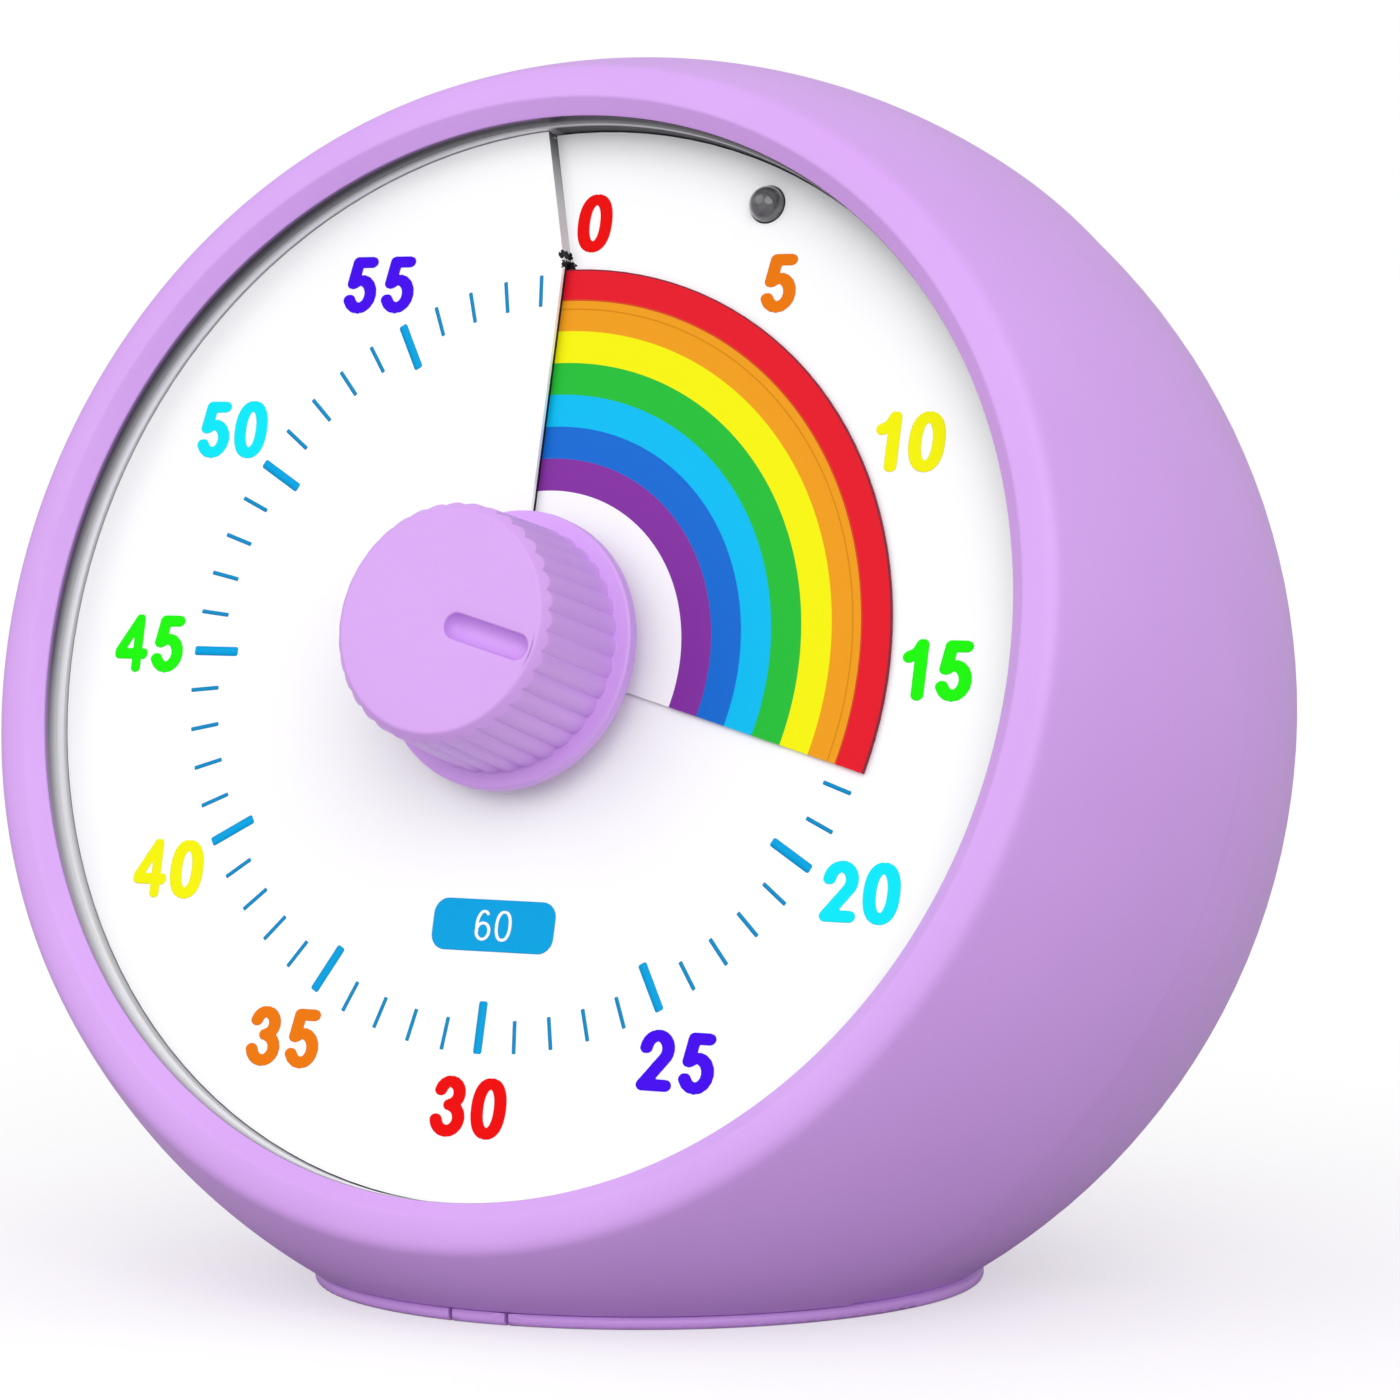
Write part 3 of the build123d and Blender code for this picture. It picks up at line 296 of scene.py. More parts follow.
def smooth_copy(node, name, body, material, ball_radii=(), crease=25.0):
    """A merged copy of a CAD node's mesh. Loops that lie on a ball about the body's centre take the
    ball's own normal, (p - centre) / |p - centre|, turned inwards on the inner wall."""
    mesh = nodes[node].data.copy()
    made = bmesh.new()
    made.from_mesh(mesh)
    bmesh.ops.remove_doubles(made, verts=made.verts, dist=CAD_WELD * MM)
    made.to_mesh(mesh)
    made.free()
    mesh.shade_smooth()
    mesh.set_sharp_from_angle(angle=radians(crease))
    places = np.empty(3 * len(mesh.vertices), np.float32)
    mesh.vertices.foreach_get("co", places)
    corner = np.empty(len(mesh.loops), np.int32)
    mesh.loops.foreach_get("vertex_index", corner)
    face_normals = np.empty(3 * len(mesh.polygons), np.float32)
    mesh.polygons.foreach_get("normal", face_normals)
    loop_counts = np.empty(len(mesh.polygons), np.int32)
    mesh.polygons.foreach_get("loop_total", loop_counts)
    owner = np.repeat(face_normals.reshape(-1, 3), loop_counts, axis=0)
    spoke = places.reshape(-1, 3)[corner] - BALL_CENTRE * MM
    reach = np.linalg.norm(spoke, axis=1) / MM
    radial = spoke / np.linalg.norm(spoke, axis=1, keepdims=True)
    facing = np.sum(owner * radial, axis=1)
    on_ball = np.zeros(len(corner), bool)
    for radius in ball_radii:
        on_ball |= (np.abs(reach - radius) < BALL_SLACK) & (np.abs(facing) > BALL_FACING)
    normals = np.where(on_ball[:, None], np.sign(facing)[:, None] * radial, 0.0)
    if ball_radii:
        mesh.normals_split_custom_set(normals.tolist())
    return finished(name, mesh, body, material, (node,))


BALL_CENTRE = DIAL - dial_offset * OUTWARD


def ring_angles(first):
    """Angles of a set of screws, spread evenly from the first."""
    return [first + turn * 360.0 / screw_count for turn in range(screw_count)]


def ball_reach(radius, height):
    """Distance from the dial's axis to a ball of this radius, at a height over the dial."""
    return np.sqrt(radius**2 - (height + dial_offset) ** 2)


# ---- finishes ----

# nearly all of a noise lies between these
NOISE_LOW = 0.3
NOISE_HIGH = 0.7
# the size in mm of the soft clouds in a moulded colour
CLOUD_SIZE = 18
# how far roughness strays to each side: as moulded, and on worked metal
MOULDED_SPREAD = 0.04
METAL_SPREAD = 0.08
# a wave texture runs through this many radians in each unit of its scaled place
WAVE_RATE = 20
# the winding's bands: mm for each radian of their wave, and their depth in mm
WINDING_RADIAN = 0.4
WINDING_DEPTH = 0.08
# matt print scatters its sheen, so little of it comes back as a highlight
MATT_PRINT = 0.08
# half the width of the strip of painted shade along the cut edge of the dial, which reaches onto its faces
SEAM_WIDTH = 0.06
# the height up to which that edge is painted black along the slit, a painted shadow where the film comes
# out
SLIT_SHADE = 0.05
# painted shade and painted reflection on the grey liner, by the height over the dial's zero, in mm, from
# its bottom to its top: pale by the dial, dark under the lip where it is in shade, and lilac by the lip, a
# painted reflection of it
LINER_SHADE_BOTTOM = [
    (-0.9, "#AEAEB0"), (0.7, "#B8B8BB"), (0.9, "#D0D0D3"), (1.2, "#EAEAEC"), (1.7, "#DADBDE"),
    (2.1, "#C8C9CD"), (2.5, "#B6B5BB"), (2.9, "#9F97A6"), (3.1, "#978AA0"),
]
LINER_SHADE_SIDE = [
    (-0.9, "#B4B4B7"), (0.44, "#C6C6C9"), (0.56, "#E6E6E9"), (0.8, "#EAEAED"), (1.1, "#DADADD"),
    (1.5, "#BFBFC2"), (1.9, "#949498"), (2.3, "#706E77"), (2.6, "#4E4158"), (2.9, "#7D6190"),
    (3.1, "#9C7BB4"),
]
LINER_SHADE_UPPER = [
    (-0.9, "#B4B4B8"), (0.4, "#CACACE"), (0.52, "#F0F0F2"), (0.75, "#EBEAEF"), (0.95, "#DAD9DE"),
    (1.3, "#AEAEB1"), (1.7, "#737377"), (2.1, "#4A4A4E"), (2.6, "#2E2A34"), (2.9, "#604D6C"),
    (3.1, "#86689A"),
]
LINER_SHADE_TOP = [
    (-0.9, "#48484C"), (0.6, "#505054"), (0.78, "#6E6E73"), (0.96, "#D0CFD4"), (1.2, "#D0CFD4"),
    (1.45, "#A8A8AB"), (1.8, "#6C6C70"), (2.15, "#464649"), (2.6, "#2E2B33"), (2.9, "#38313F"),
    (3.1, "#57465F"),
]
# where the painted tones give way to the next ones, darker in shade towards the top of the ring and right
# of the seam: along which of the dial's axes, from and to, in mm
LINER_SHADE_CHANGES = [
    ({"Y": (-30.0, 0.0)}, LINER_SHADE_SIDE),
    ({"Y": (0.0, 32.0)}, LINER_SHADE_UPPER),
    ({"Y": (8.0, 34.0), "X": (-4.3, -3.3)}, LINER_SHADE_TOP),
]
# painted shade on the step wall, grey from its foot at the slit's end and darker towards the ring, and a
# painted shadow, nearly black, on the slit's own edge
STEP_SHADE_TONES = [
    (0.0, "#1E1E20"),
    (33.1, "#262628"),
    (33.2, "#CFD0D2"),
    (37.5, "#C2C3C5"),
    (40.5, "#A0A1A3"),
    (43.0, "#6E7073"),
    (44.2, "#505256"),
]
# the two places where the end of the slit is torn and a painted shadow fills the tear, (x, y) in mm, how
# far and how finely
SLIT_TEAR_SHADOWS = [(-1.34, 33.6), (-1.02, 32.84)]
TEAR_SHADOW_REACH = 0.36
TEAR_SHADOW_GRAIN = 0.22
# printed film from the middle outwards, with a dark band of painted shadow along its outer edge: the
# radius in mm at which each flat colour starts
FILM_BANDS_AND_EDGE_SHADE = [
    (0.0, "#F9F8FA"),
    (13.85, "#82319D"),
    (16.514, "#126ACD"),
    (19.179, "#00BBEC"),
    (21.843, "#23BC37"),
    (24.507, "#F0EE00"),
    (27.171, "#EA9B18"),
    (29.02, "#D38606"),
    (29.12, "#EA9B18"),
    (29.78, "#CD491E"),
    (29.88, "#E11528"),
    # painted shadow along the film's outer edge
    (32.34, "#842538"),
]


def linear(colour):
    """A linear RGBA colour from an sRGB hex value."""
    srgb = np.array([int(colour[place : place + 2], 16) for place in (1, 3, 5)]) / 255
    return (*np.where(srgb <= 0.04045, srgb / 12.92, ((srgb + 0.055) / 1.055) ** 2.4), 1.0)


def add(tree, kind, sockets=(), **settings):
    """A new node of a kind. A socket is named by its name or number, and its value is a constant or
    the output of another node. A mix of colours has its factor on 0, its colours on 6 and 7, and
    its result on output 2."""
    node = tree.nodes.new(kind)
    for name, value in settings.items():
        setattr(node, name, value)
    for name, value in dict(sockets).items():
        if isinstance(value, bpy.types.NodeSocket):
            tree.links.new(value, node.inputs[name])
        else:
            node.inputs[name].default_value = value
    return node


def new_material(name, **constants):
    """A material with a principled shader, whose constants are set on its own sockets."""
    material = bpy.data.materials.new(name)
    material.use_nodes = True
    shader = material.node_tree.nodes["Principled BSDF"]
    for socket, value in constants.items():
        shader.inputs[socket.replace("_", " ")].default_value = value
    return material, material.node_tree, shader


def grain(tree, size, depth, detail=2.0):
    """Noise with a given grain in mm, on Object coordinates, and the bump of that depth in mm."""
    place = add(tree, "ShaderNodeTexCoord").outputs["Object"]
    noise = add(tree, "ShaderNodeTexNoise", {"Vector": place, "Scale": 1 / (size * MM), "Detail": detail})
    height = noise.outputs["Fac"]
    bump = add(tree, "ShaderNodeBump", {"Height": height, "Strength": 1.0, "Distance": depth * MM})
    return place, height, bump.outputs["Normal"]


def varied(tree, factor, dark, light):
    """A colour between two hex values, as noise runs from low to high."""
    ramp = add(tree, "ShaderNodeValToRGB", {"Fac": factor})
    ends = ((NOISE_LOW, dark), (NOISE_HIGH, light))
    for element, (at, colour) in zip(ramp.color_ramp.elements, ends):
        element.position = at
        element.color = linear(colour)
    return ramp.outputs["Color"]


def spread(tree, factor, low, high):
    """A value that runs from low to high as noise does."""
    limits = {"Value": factor, "From Min": NOISE_LOW, "From Max": NOISE_HIGH}
    limits |= {"To Min": low, "To Max": high}
    return add(tree, "ShaderNodeMapRange", limits).outputs["Result"]


def moulded_plastic(name, dark, light, size, depth, roughness, ior, specular=0.5):
    """Plastic as it leaves a spark-eroded mould: one colour with a fine even grain, so that a
    highlight is broad and a little uneven."""
    material, tree, shader = new_material(name, IOR=ior, Specular_IOR_Level=specular)
    place, height, normal = grain(tree, size, depth)
    cloud = {"Vector": place, "Scale": 1 / (CLOUD_SIZE * MM), "Detail": 2.0}
    cloud = add(tree, "ShaderNodeTexNoise", cloud).outputs["Fac"]
    rough = spread(tree, height, roughness - MOULDED_SPREAD, roughness + MOULDED_SPREAD)
    tree.links.new(varied(tree, cloud, dark, light), shader.inputs["Base Color"])
    tree.links.new(rough, shader.inputs["Roughness"])
    tree.links.new(normal, shader.inputs["Normal"])
    return material


def plated_metal(name, dark, light, size, depth, roughness):
    """Metal with a plated, turned or stamped surface: bright, with fine uneven marks."""
    material, tree, shader = new_material(name, Metallic=1.0)
    _, height, normal = grain(tree, size, depth, detail=4.0)
    rough = spread(tree, height, roughness - METAL_SPREAD, roughness + METAL_SPREAD)
    tree.links.new(varied(tree, height, dark, light), shader.inputs["Base Color"])
    tree.links.new(rough, shader.inputs["Roughness"])
    tree.links.new(normal, shader.inputs["Normal"])
    return material


def dial_place(tree):
    """Object coordinates turned into the dial's frame, in metres: z is the height over the dial."""
    place = add(tree, "ShaderNodeTexCoord").outputs["Object"]
    sockets = {"Vector": place, "Location": Vector(DIAL * MM), "Rotation": DIAL_TURN}
    return add(tree, "ShaderNodeMapping", sockets, vector_type="TEXTURE").outputs["Vector"]


def toned(tree, length, tones):
    """A colour that runs through tones, each given at a length in mm."""
    start, end = tones[0][0], tones[-1][0]
    limits = {"Value": length, "From Min": start * MM, "From Max": end * MM}
    share = add(tree, "ShaderNodeMapRange", limits).outputs["Result"]
    ramp = add(tree, "ShaderNodeValToRGB", {"Fac": share})
    ramp.color_ramp.elements[0].color = linear(tones[0][1])
    ramp.color_ramp.elements[1].color = linear(tones[-1][1])
    for at, colour in tones[1:-1]:
        ramp.color_ramp.elements.new((at - start) / (end - start)).color = linear(colour)
    return ramp.outputs["Color"]


def liner_painted_shade():
    """Grey plastic with painted shade: pale at the dial to dark under the lip, and darker towards the top,
    with a painted reflection of the lilac lip beside it: the ring looks deep and shadowed."""
    material, tree, shader = new_material("grey_abs_painted_shade", IOR=1.54, Specular_IOR_Level=MATT_PRINT)
    apart = add(tree, "ShaderNodeSeparateXYZ", {"Vector": dial_place(tree)})
    colour = toned(tree, apart.outputs["Z"], LINER_SHADE_BOTTOM)
    for changes, tones in LINER_SHADE_CHANGES:
        share = 1.0
        for axis, (start, end) in changes.items():
            limits = {"Value": apart.outputs[axis], "From Min": start * MM, "From Max": end * MM}
            limits["To Max"] = share
            share = add(tree, "ShaderNodeMapRange", limits).outputs["Result"]
        mixed = {0: share, 6: colour, 7: toned(tree, apart.outputs["Z"], tones)}
        colour = add(tree, "ShaderNodeMix", mixed, data_type="RGBA").outputs[2]
    _, height, normal = grain(tree, size=0.25, depth=0.004)
    tree.links.new(colour, shader.inputs["Base Color"])
    tree.links.new(spread(tree, height, low=0.34, high=0.42), shader.inputs["Roughness"])
    tree.links.new(normal, shader.inputs["Normal"])
    return material


def cut_edge_shade(tree, x, y, height):
    """Mask of the painted shade: 1 on the sheet's cut edge and 0 off it. The edge lies in the dial's upper
    half, where x is -offset - lean (y - slit end) / (radius - slit end). Along the slit only its foot
    counts."""
    slope = seam_lean / (plate_radius - slit_end)
    past = {0: y, 1: slit_end * MM}
    past = add(tree, "ShaderNodeMath", past, operation="SUBTRACT").outputs["Value"]
    past = add(tree, "ShaderNodeMath", {0: past, 1: 0.0}, operation="MAXIMUM").outputs["Value"]
    line = {0: past, 1: slope, 2: x}
    line = add(tree, "ShaderNodeMath", line, operation="MULTIPLY_ADD").outputs["Value"]
    near = {0: line, 1: -seam_offset * MM, 2: SEAM_WIDTH * MM}
    near = add(tree, "ShaderNodeMath", near, operation="COMPARE").outputs["Value"]
    above = add(tree, "ShaderNodeMath", {0: y, 1: 0.0}, operation="GREATER_THAN").outputs["Value"]
    low = {0: height, 1: SLIT_SHADE * MM}
    low = add(tree, "ShaderNodeMath", low, operation="LESS_THAN").outputs["Value"]
    beyond = add(tree, "ShaderNodeMath", {0: past, 1: 0.0}, operation="GREATER_THAN").outputs["Value"]
    seen = add(tree, "ShaderNodeMath", {0: low, 1: beyond}, operation="MAXIMUM").outputs["Value"]
    for share in (above, seen):
        near = add(tree, "ShaderNodeMath", {0: near, 1: share}, operation="MULTIPLY").outputs["Value"]
    return near


def torn_shadow(tree, local, colour):
    """A colour with a painted shadow where the end of the slit is torn: dark within a ragged reach of
    each tear.
    """
    place = add(tree, "ShaderNodeTexCoord").outputs["Object"]
    ragged = {"Vector": place, "Scale": 1 / (TEAR_SHADOW_GRAIN * MM), "Detail": 1.0}
    ragged = {0: add(tree, "ShaderNodeTexNoise", ragged).outputs["Fac"], 1: 2 * TEAR_SHADOW_REACH * MM}
    reach = add(tree, "ShaderNodeMath", ragged, operation="MULTIPLY").outputs["Value"]
    flat = add(tree, "ShaderNodeVectorMath", {0: local, 1: (1.0, 1.0, 0.0)}, operation="MULTIPLY")
    for x, y in SLIT_TEAR_SHADOWS:
        gap = {0: flat.outputs["Vector"], 1: (x * MM, y * MM, 0.0)}
        gap = add(tree, "ShaderNodeVectorMath", gap, operation="DISTANCE").outputs["Value"]
        inside = add(tree, "ShaderNodeMath", {0: gap, 1: reach}, operation="LESS_THAN").outputs["Value"]
        mixed = {0: inside, 6: colour, 7: linear(STEP_SHADE_TONES[0][1])}
        colour = add(tree, "ShaderNodeMix", mixed, data_type="RGBA").outputs[2]
    return colour


def dial_sheet():
    """Matt white sheet: flat and even, with painted shade along its cut edge, where the step beside the
    0 is, and a painted shadow where the end of the slit is torn."""
    material = moulded_plastic(
        "white_polystyrene_sheet_painted_shade", "#FAFAFC", "#FCFCFD", 0.3, 0.003, 0.5, 1.59, MATT_PRINT
    )
    tree = material.node_tree
    shader = tree.nodes["Principled BSDF"]
    sheet = shader.inputs["Base Color"].links[0].from_socket
    local = dial_place(tree)
    apart = add(tree, "ShaderNodeSeparateXYZ", {"Vector": local}).outputs
    edge = cut_edge_shade(tree, apart["X"], apart["Y"], apart["Z"])
    mixed = {0: edge, 6: sheet, 7: toned(tree, apart["Y"], STEP_SHADE_TONES)}
    colour = add(tree, "ShaderNodeMix", mixed, data_type="RGBA").outputs[2]
    tree.links.new(torn_shadow(tree, local, colour), shader.inputs["Base Color"])
    return material


def printed_film():
    """Polyester film, printed: white in the middle and seven flat bands of ink outside it, and a dark
    band of painted shadow along its outer edge, by the distance from the dial's axis, under a fine soft
    grain."""
    material, tree, shader = new_material(
        "printed_polyester_film", IOR=1.57, Specular_IOR_Level=MATT_PRINT
    )
    level = {0: dial_place(tree), 1: (1.0, 1.0, 0.0)}
    flat = add(tree, "ShaderNodeVectorMath", level, operation="MULTIPLY")
    radius = add(tree, "ShaderNodeVectorMath", {0: flat.outputs["Vector"]}, operation="LENGTH")
    share = {"Value": radius.outputs["Value"], "From Max": disc_radius * MM}
    share = add(tree, "ShaderNodeMapRange", share)
    bands = add(tree, "ShaderNodeValToRGB", {"Fac": share.outputs["Result"]})
    ramp = bands.color_ramp
    ramp.interpolation = "CONSTANT"
    ramp.elements.remove(ramp.elements[1])
    ramp.elements[0].color = linear(FILM_BANDS_AND_EDGE_SHADE[0][1])
    for start, colour in FILM_BANDS_AND_EDGE_SHADE[1:]:
        ramp.elements.new(start / disc_radius).color = linear(colour)
    _, height, normal = grain(tree, size=0.35, depth=0.003)
    tree.links.new(bands.outputs["Color"], shader.inputs["Base Color"])
    tree.links.new(spread(tree, height, low=0.46, high=0.54), shader.inputs["Roughness"])
    tree.links.new(normal, shader.inputs["Normal"])
    return material


def printing_ink(name, colour):
    """Pad-printed ink: a thin flat film of strong colour with a soft sheen and a slight orange
    peel."""
    material, tree, shader = new_material(
        "ink_" + name, IOR=1.5, Base_Color=linear(colour), Specular_IOR_Level=MATT_PRINT
    )
    _, height, normal = grain(tree, size=0.3, depth=0.002)
    tree.links.new(spread(tree, height, low=0.5, high=0.6), shader.inputs["Roughness"])
    tree.links.new(normal, shader.inputs["Normal"])
    return material


def smoked_epoxy():
    """Cast epoxy with smoke pigment: nearly black inside a glass-smooth skin."""
    material, tree, shader = new_material("smoked_epoxy", IOR=1.55, Roughness=0.12, Coat_Weight=0.6)
    _, height, normal = grain(tree, size=0.8, depth=0.004)
    tree.links.new(varied(tree, height, "#4C4D50", "#67686B"), shader.inputs["Base Color"])
    tree.links.new(normal, shader.inputs["Normal"])
    return material


def enamelled_winding():
    """Enamelled copper wire wound in layers: reddish bands across the winding, drawn 2.5 mm apart,
    far coarser than its turns, so that they show."""
    material, tree, shader = new_material("enamelled_copper_wire", Metallic=1.0, Roughness=0.3)
    place = add(tree, "ShaderNodeTexCoord").outputs["Object"]
    waves = {"Vector": place, "Scale": 1 / (WAVE_RATE * WINDING_RADIAN * MM)}
    height = add(tree, "ShaderNodeTexWave", waves).outputs["Fac"]
    bump = add(tree, "ShaderNodeBump", {"Height": height, "Distance": WINDING_DEPTH * MM})
    tree.links.new(varied(tree, height, "#7A3A1C", "#C8763C"), shader.inputs["Base Color"])
    tree.links.new(bump.outputs["Normal"], shader.inputs["Normal"])
    return material


# after the two colours: grain size and depth in mm, roughness, index of refraction, specular level
LILAC = moulded_plastic("lilac_abs_moulded", "#D29FEC", "#D5A3EF", 0.22, 0.006, 0.44, 1.54, 0.45)
LINER = liner_painted_shade()
DIAL_WHITE = dial_sheet()
ACETAL = moulded_plastic("white_acetal_moulded", "#E2E1DB", "#EBEAE5", 0.3, 0.003, 0.35, 1.48)
BLACK = moulded_plastic("black_polystyrene_moulded", "#1B1B1D", "#232326", 0.3, 0.01, 0.45, 1.59)
FILM = printed_film()
EPOXY = smoked_epoxy()
ZINC = plated_metal("zinc_plated_steel", "#9DA0A3", "#C4C7C9", 0.6, 0.003, 0.32)
NICKEL = plated_metal("nickel_plated_spring_steel", "#B5B1A8", "#D0CCC2", 0.5, 0.002, 0.22)
BRASS = plated_metal("turned_brass", "#B08A46", "#C9A35C", 0.4, 0.002, 0.25)
LAMINATION = plated_metal("stamped_motor_steel", "#6E7073", "#909396", 0.5, 0.003, 0.4)
FERRITE = moulded_plastic("sintered_ferrite", "#262628", "#333336", 0.15, 0.006, 0.6, 1.5)
WINDING = enamelled_winding()
RESIST = moulded_plastic("green_solder_resist", "#0F4A26", "#17602F", 1.2, 0.01, 0.3, 1.5)
BASKET = plated_metal("pressed_speaker_basket", "#4C4D50", "#66686B", 0.5, 0.004, 0.42)
SLEEVE = moulded_plastic("shrunk_cell_sleeve", "#20242C", "#2C313B", 4.0, 0.02, 0.22, 1.5)

NODE_FINISHES = [
    (DIAL_WHITE, ["dial_plate"]),
    (FILM, ["rainbow_disc"]),
    (ACETAL, ["disc_hub", "dial_carrier", "centre_wheel", "third_wheel"]),
    (BLACK, ["movement_case", "movement_lid", "battery_box", "switch_body", "switch_slider"]),
    (ZINC, ["arbor", "clutch_spring", "retaining_clip", "carrier_screws", "case_screws"]),
    (NICKEL, ["contact_plates", "contact_springs"]),
    (BRASS, ["threaded_bush", "fixing_nut"]),
    (LAMINATION, ["stator"]),
    (WINDING, ["coil"]),
    (FERRITE, ["rotor"]),
    (RESIST, ["circuit_board", "switch_board"]),
    (BASKET, ["speaker"]),
    (SLEEVE, ["battery_cells"]),
]
for finish, names in NODE_FINISHES:
    for node_name in names:
        nodes[node_name].data.materials.clear()
        nodes[node_name].data.materials.append(finish)


# ---- body ----


# rows across the rim's band; the last step, to the crease, leaves room for the crease's trim
BAND_SHARES = [0.0, 0.125, 0.25, 0.375, 0.5, 0.625, 1.0]
# a column that reaches the base this much before the parting plane, in radians, ends there
ANGLE_SLACK = 1e-9


def front_shell():
    """The front shell: a closed profile carried round the dial's axis. Outside it is the lip, the
    chamfer, the crowned band, the crease and the ball, where a point at the angle a from the axis
    lies at R (sin a, cos a). Each column ends at the parting plane, a = 90 degrees, or where it
    meets the plane of the base, cos a sin tilt + sin a cos tilt cos(angle) = (z - centre) / R."""
    columns = SHELL_COLUMNS
    tilt = np.arcsin(OUTWARD[2])
    base_level = -(centre_height - shell_bottom) / front_radius
    corner = np.arccos(base_level / np.cos(tilt))
    angle = np.linspace(0, 2 * pi, columns, endpoint=False)
    for side in (corner, 2 * pi - corner):
        angle[np.argmin(np.abs(angle - side))] = side
    along = np.sin(tilt)
    across = np.cos(tilt) * np.cos(angle)
    swing = np.arctan2(across, along)
    size = np.hypot(across, along)
    meets = np.abs(base_level) <= size
    crossing = swing + np.arccos(np.where(meets, base_level / np.where(meets, size, 1), -1))
    crossing = np.where(meets & (across < 0), crossing, pi)
    on_base = crossing < pi / 2 - ANGLE_SLACK
    last = np.minimum(crossing, pi / 2)

    crease_reach = ball_reach(front_radius, crease_height)
    first = np.arctan2(crease_reach, crease_height + dial_offset)
    band = np.array(BAND_SHARES)[:, None]
    band_radius = rim_radius + (crease_reach - rim_radius) * band
    band_height = rim_height + (crease_height - rim_height) * band
    band_height = band_height + 4 * rim_crown * band * (1 - band)

    def spun(radius, height):
        radius, height = np.broadcast_arrays(radius, height)
        return np.stack([radius, height], axis=-1) * np.ones((1, columns, 1))

    def ball_rows(radius, start, end, count):
        share = np.linspace(0, 1, count)[:, None]
        bearing = start + (end - start) * share
        return np.stack([radius * np.sin(bearing), radius * np.cos(bearing) - dial_offset], axis=-1)

    lip = spun([[lip_radius], [lip_radius]], [[lip_bottom], [lip_height]])
    band_rows = spun(band_radius, band_height)
    after_crease = first + 2 * crease_trim / front_radius
    ball = ball_rows(front_radius, np.full(columns, after_crease), last, SHELL_ROWS)
    trims = [0, lip_trim, rim_trim] + [0] * (len(band) - 2) + [crease_trim] + [0] * len(ball)
    outer = rounded(np.concatenate([lip, band_rows, ball]), trims, RIM_STEPS)
    outer_points = turned(outer[..., 0], outer[..., 1], angle)

    lap_radius = front_radius - wall / 2 + lap_gap / 2
    inner_radius = front_radius - wall
    lap_level = -dial_offset + lap_height
    end_point = outer_points[-1] / MM
    heading = np.arctan2(end_point[:, 0], -end_point[:, 1])
    corner_heading = np.max(np.abs(heading[on_base]))

    def base_row(level, radius):
        limit = np.arccos(-(tan(tilt) * (level - centre_height)) / radius)
        bearing = heading / corner_heading * limit
        place = np.stack(
            [radius * np.sin(bearing), -radius * np.cos(bearing), np.full(columns, level)], axis=-1
        )
        return place * MM

    inner_level = centre_height - np.sqrt(inner_radius**2 - opening_radius**2)
    middle_level = (shell_bottom + inner_level) / 2
    part_rows = [
        turned(np.full(columns, lap_radius), np.full(columns, -dial_offset), angle),
        turned(np.full(columns, lap_radius), np.full(columns, lap_level), angle),
        turned(np.full(columns, ball_reach(inner_radius, lap_level)), np.full(columns, lap_level), angle),
    ]
    base_rows = [
        base_row(shell_bottom, opening_radius),
        base_row(middle_level, opening_radius),
        base_row(inner_level, opening_radius),
    ]
    end_rows = np.stack(
        [np.where(on_base[:, None], base, part) for base, part in zip(base_rows, part_rows)]
    )
    spoke = end_rows[-1] / MM - BALL_CENTRE
    rise = spoke @ OUTWARD
    inner_end = np.arccos(rise / inner_radius)
    inner_angle = np.arctan2(spoke @ RIGHT, spoke @ UP)
    drift = np.angle(np.exp(1j * (inner_angle - angle)))
    inner_first = np.arccos((lip_bottom + dial_offset) / inner_radius)
    share = np.linspace(1, 0, INNER_ROWS)[:, None]
    bearing = inner_first + (inner_end - inner_first) * share
    inner_points = turned(
        inner_radius * np.sin(bearing), inner_radius * np.cos(bearing) - dial_offset, angle + drift * share
    )
    points = np.concatenate([outer_points, end_rows, inner_points[1:]])
    faces = grid_faces(len(points), columns, True, True)
    parts = [(points, faces)]
    for first_angle, ring, radius, foot, length in (
        (case_screw_angle, case_screw_ring, case_boss, -dial_offset, case_post_length),
        (carrier_screw_angle, carrier_ring, carrier_boss, carrier_front, carrier_post_length),
    ):
        parts += [post(bearing, ring, radius, foot, length) for bearing in ring_angles(first_angle)]
    return parts


def post(angle, ring, radius, foot, length):
    """A round post of the front shell: from its foot, out along the dial's axis for its length or to
    the inner wall of the ball, into which it runs by a share of the wall."""
    turn = np.linspace(0, 2 * pi, POST_COLUMNS, endpoint=False)
    x = ring * np.sin(radians(angle)) + radius * np.cos(turn)
    y = ring * np.cos(radians(angle)) + radius * np.sin(turn)
    inside = front_radius - (1 - post_sink) * wall
    top = np.sqrt(np.maximum(inside**2 - x**2 - y**2, 0)) - dial_offset
    top = np.clip(top, foot, foot + length)
    centre_x = np.full(POST_COLUMNS, x.mean())
    centre_y = np.full(POST_COLUMNS, y.mean())
    rows = [
        dial_points(centre_x, centre_y, foot),
        dial_points(x, y, foot),
        dial_points(x, y, top),
        dial_points(centre_x, centre_y, top.mean()),
    ]
    return np.stack(rows), grid_faces(len(rows), POST_COLUMNS, False, True)


piece("front_shell_moulding", front_shell(), "housing", LILAC, ("front_shell",))
smooth_copy(
    "rear_shell",
    "rear_shell_moulding",
    "housing",
    LILAC,
    (rear_radius, rear_radius - wall),
)
smooth_copy("base_cover", "base_cover_moulding", "cover", LILAC)


def revolved(profile, trims):
    """A closed profile of (radius, height) corners, rounded by its trims and carried round the
    dial's axis."""
    corners = np.array(profile)[:, None, :] * np.ones((1, RING_COLUMNS, 1))
    rows = rounded(corners, trims)
    angle = np.linspace(0, 2 * pi, RING_COLUMNS, endpoint=False)
    return turned(rows[..., 0], rows[..., 1], angle)


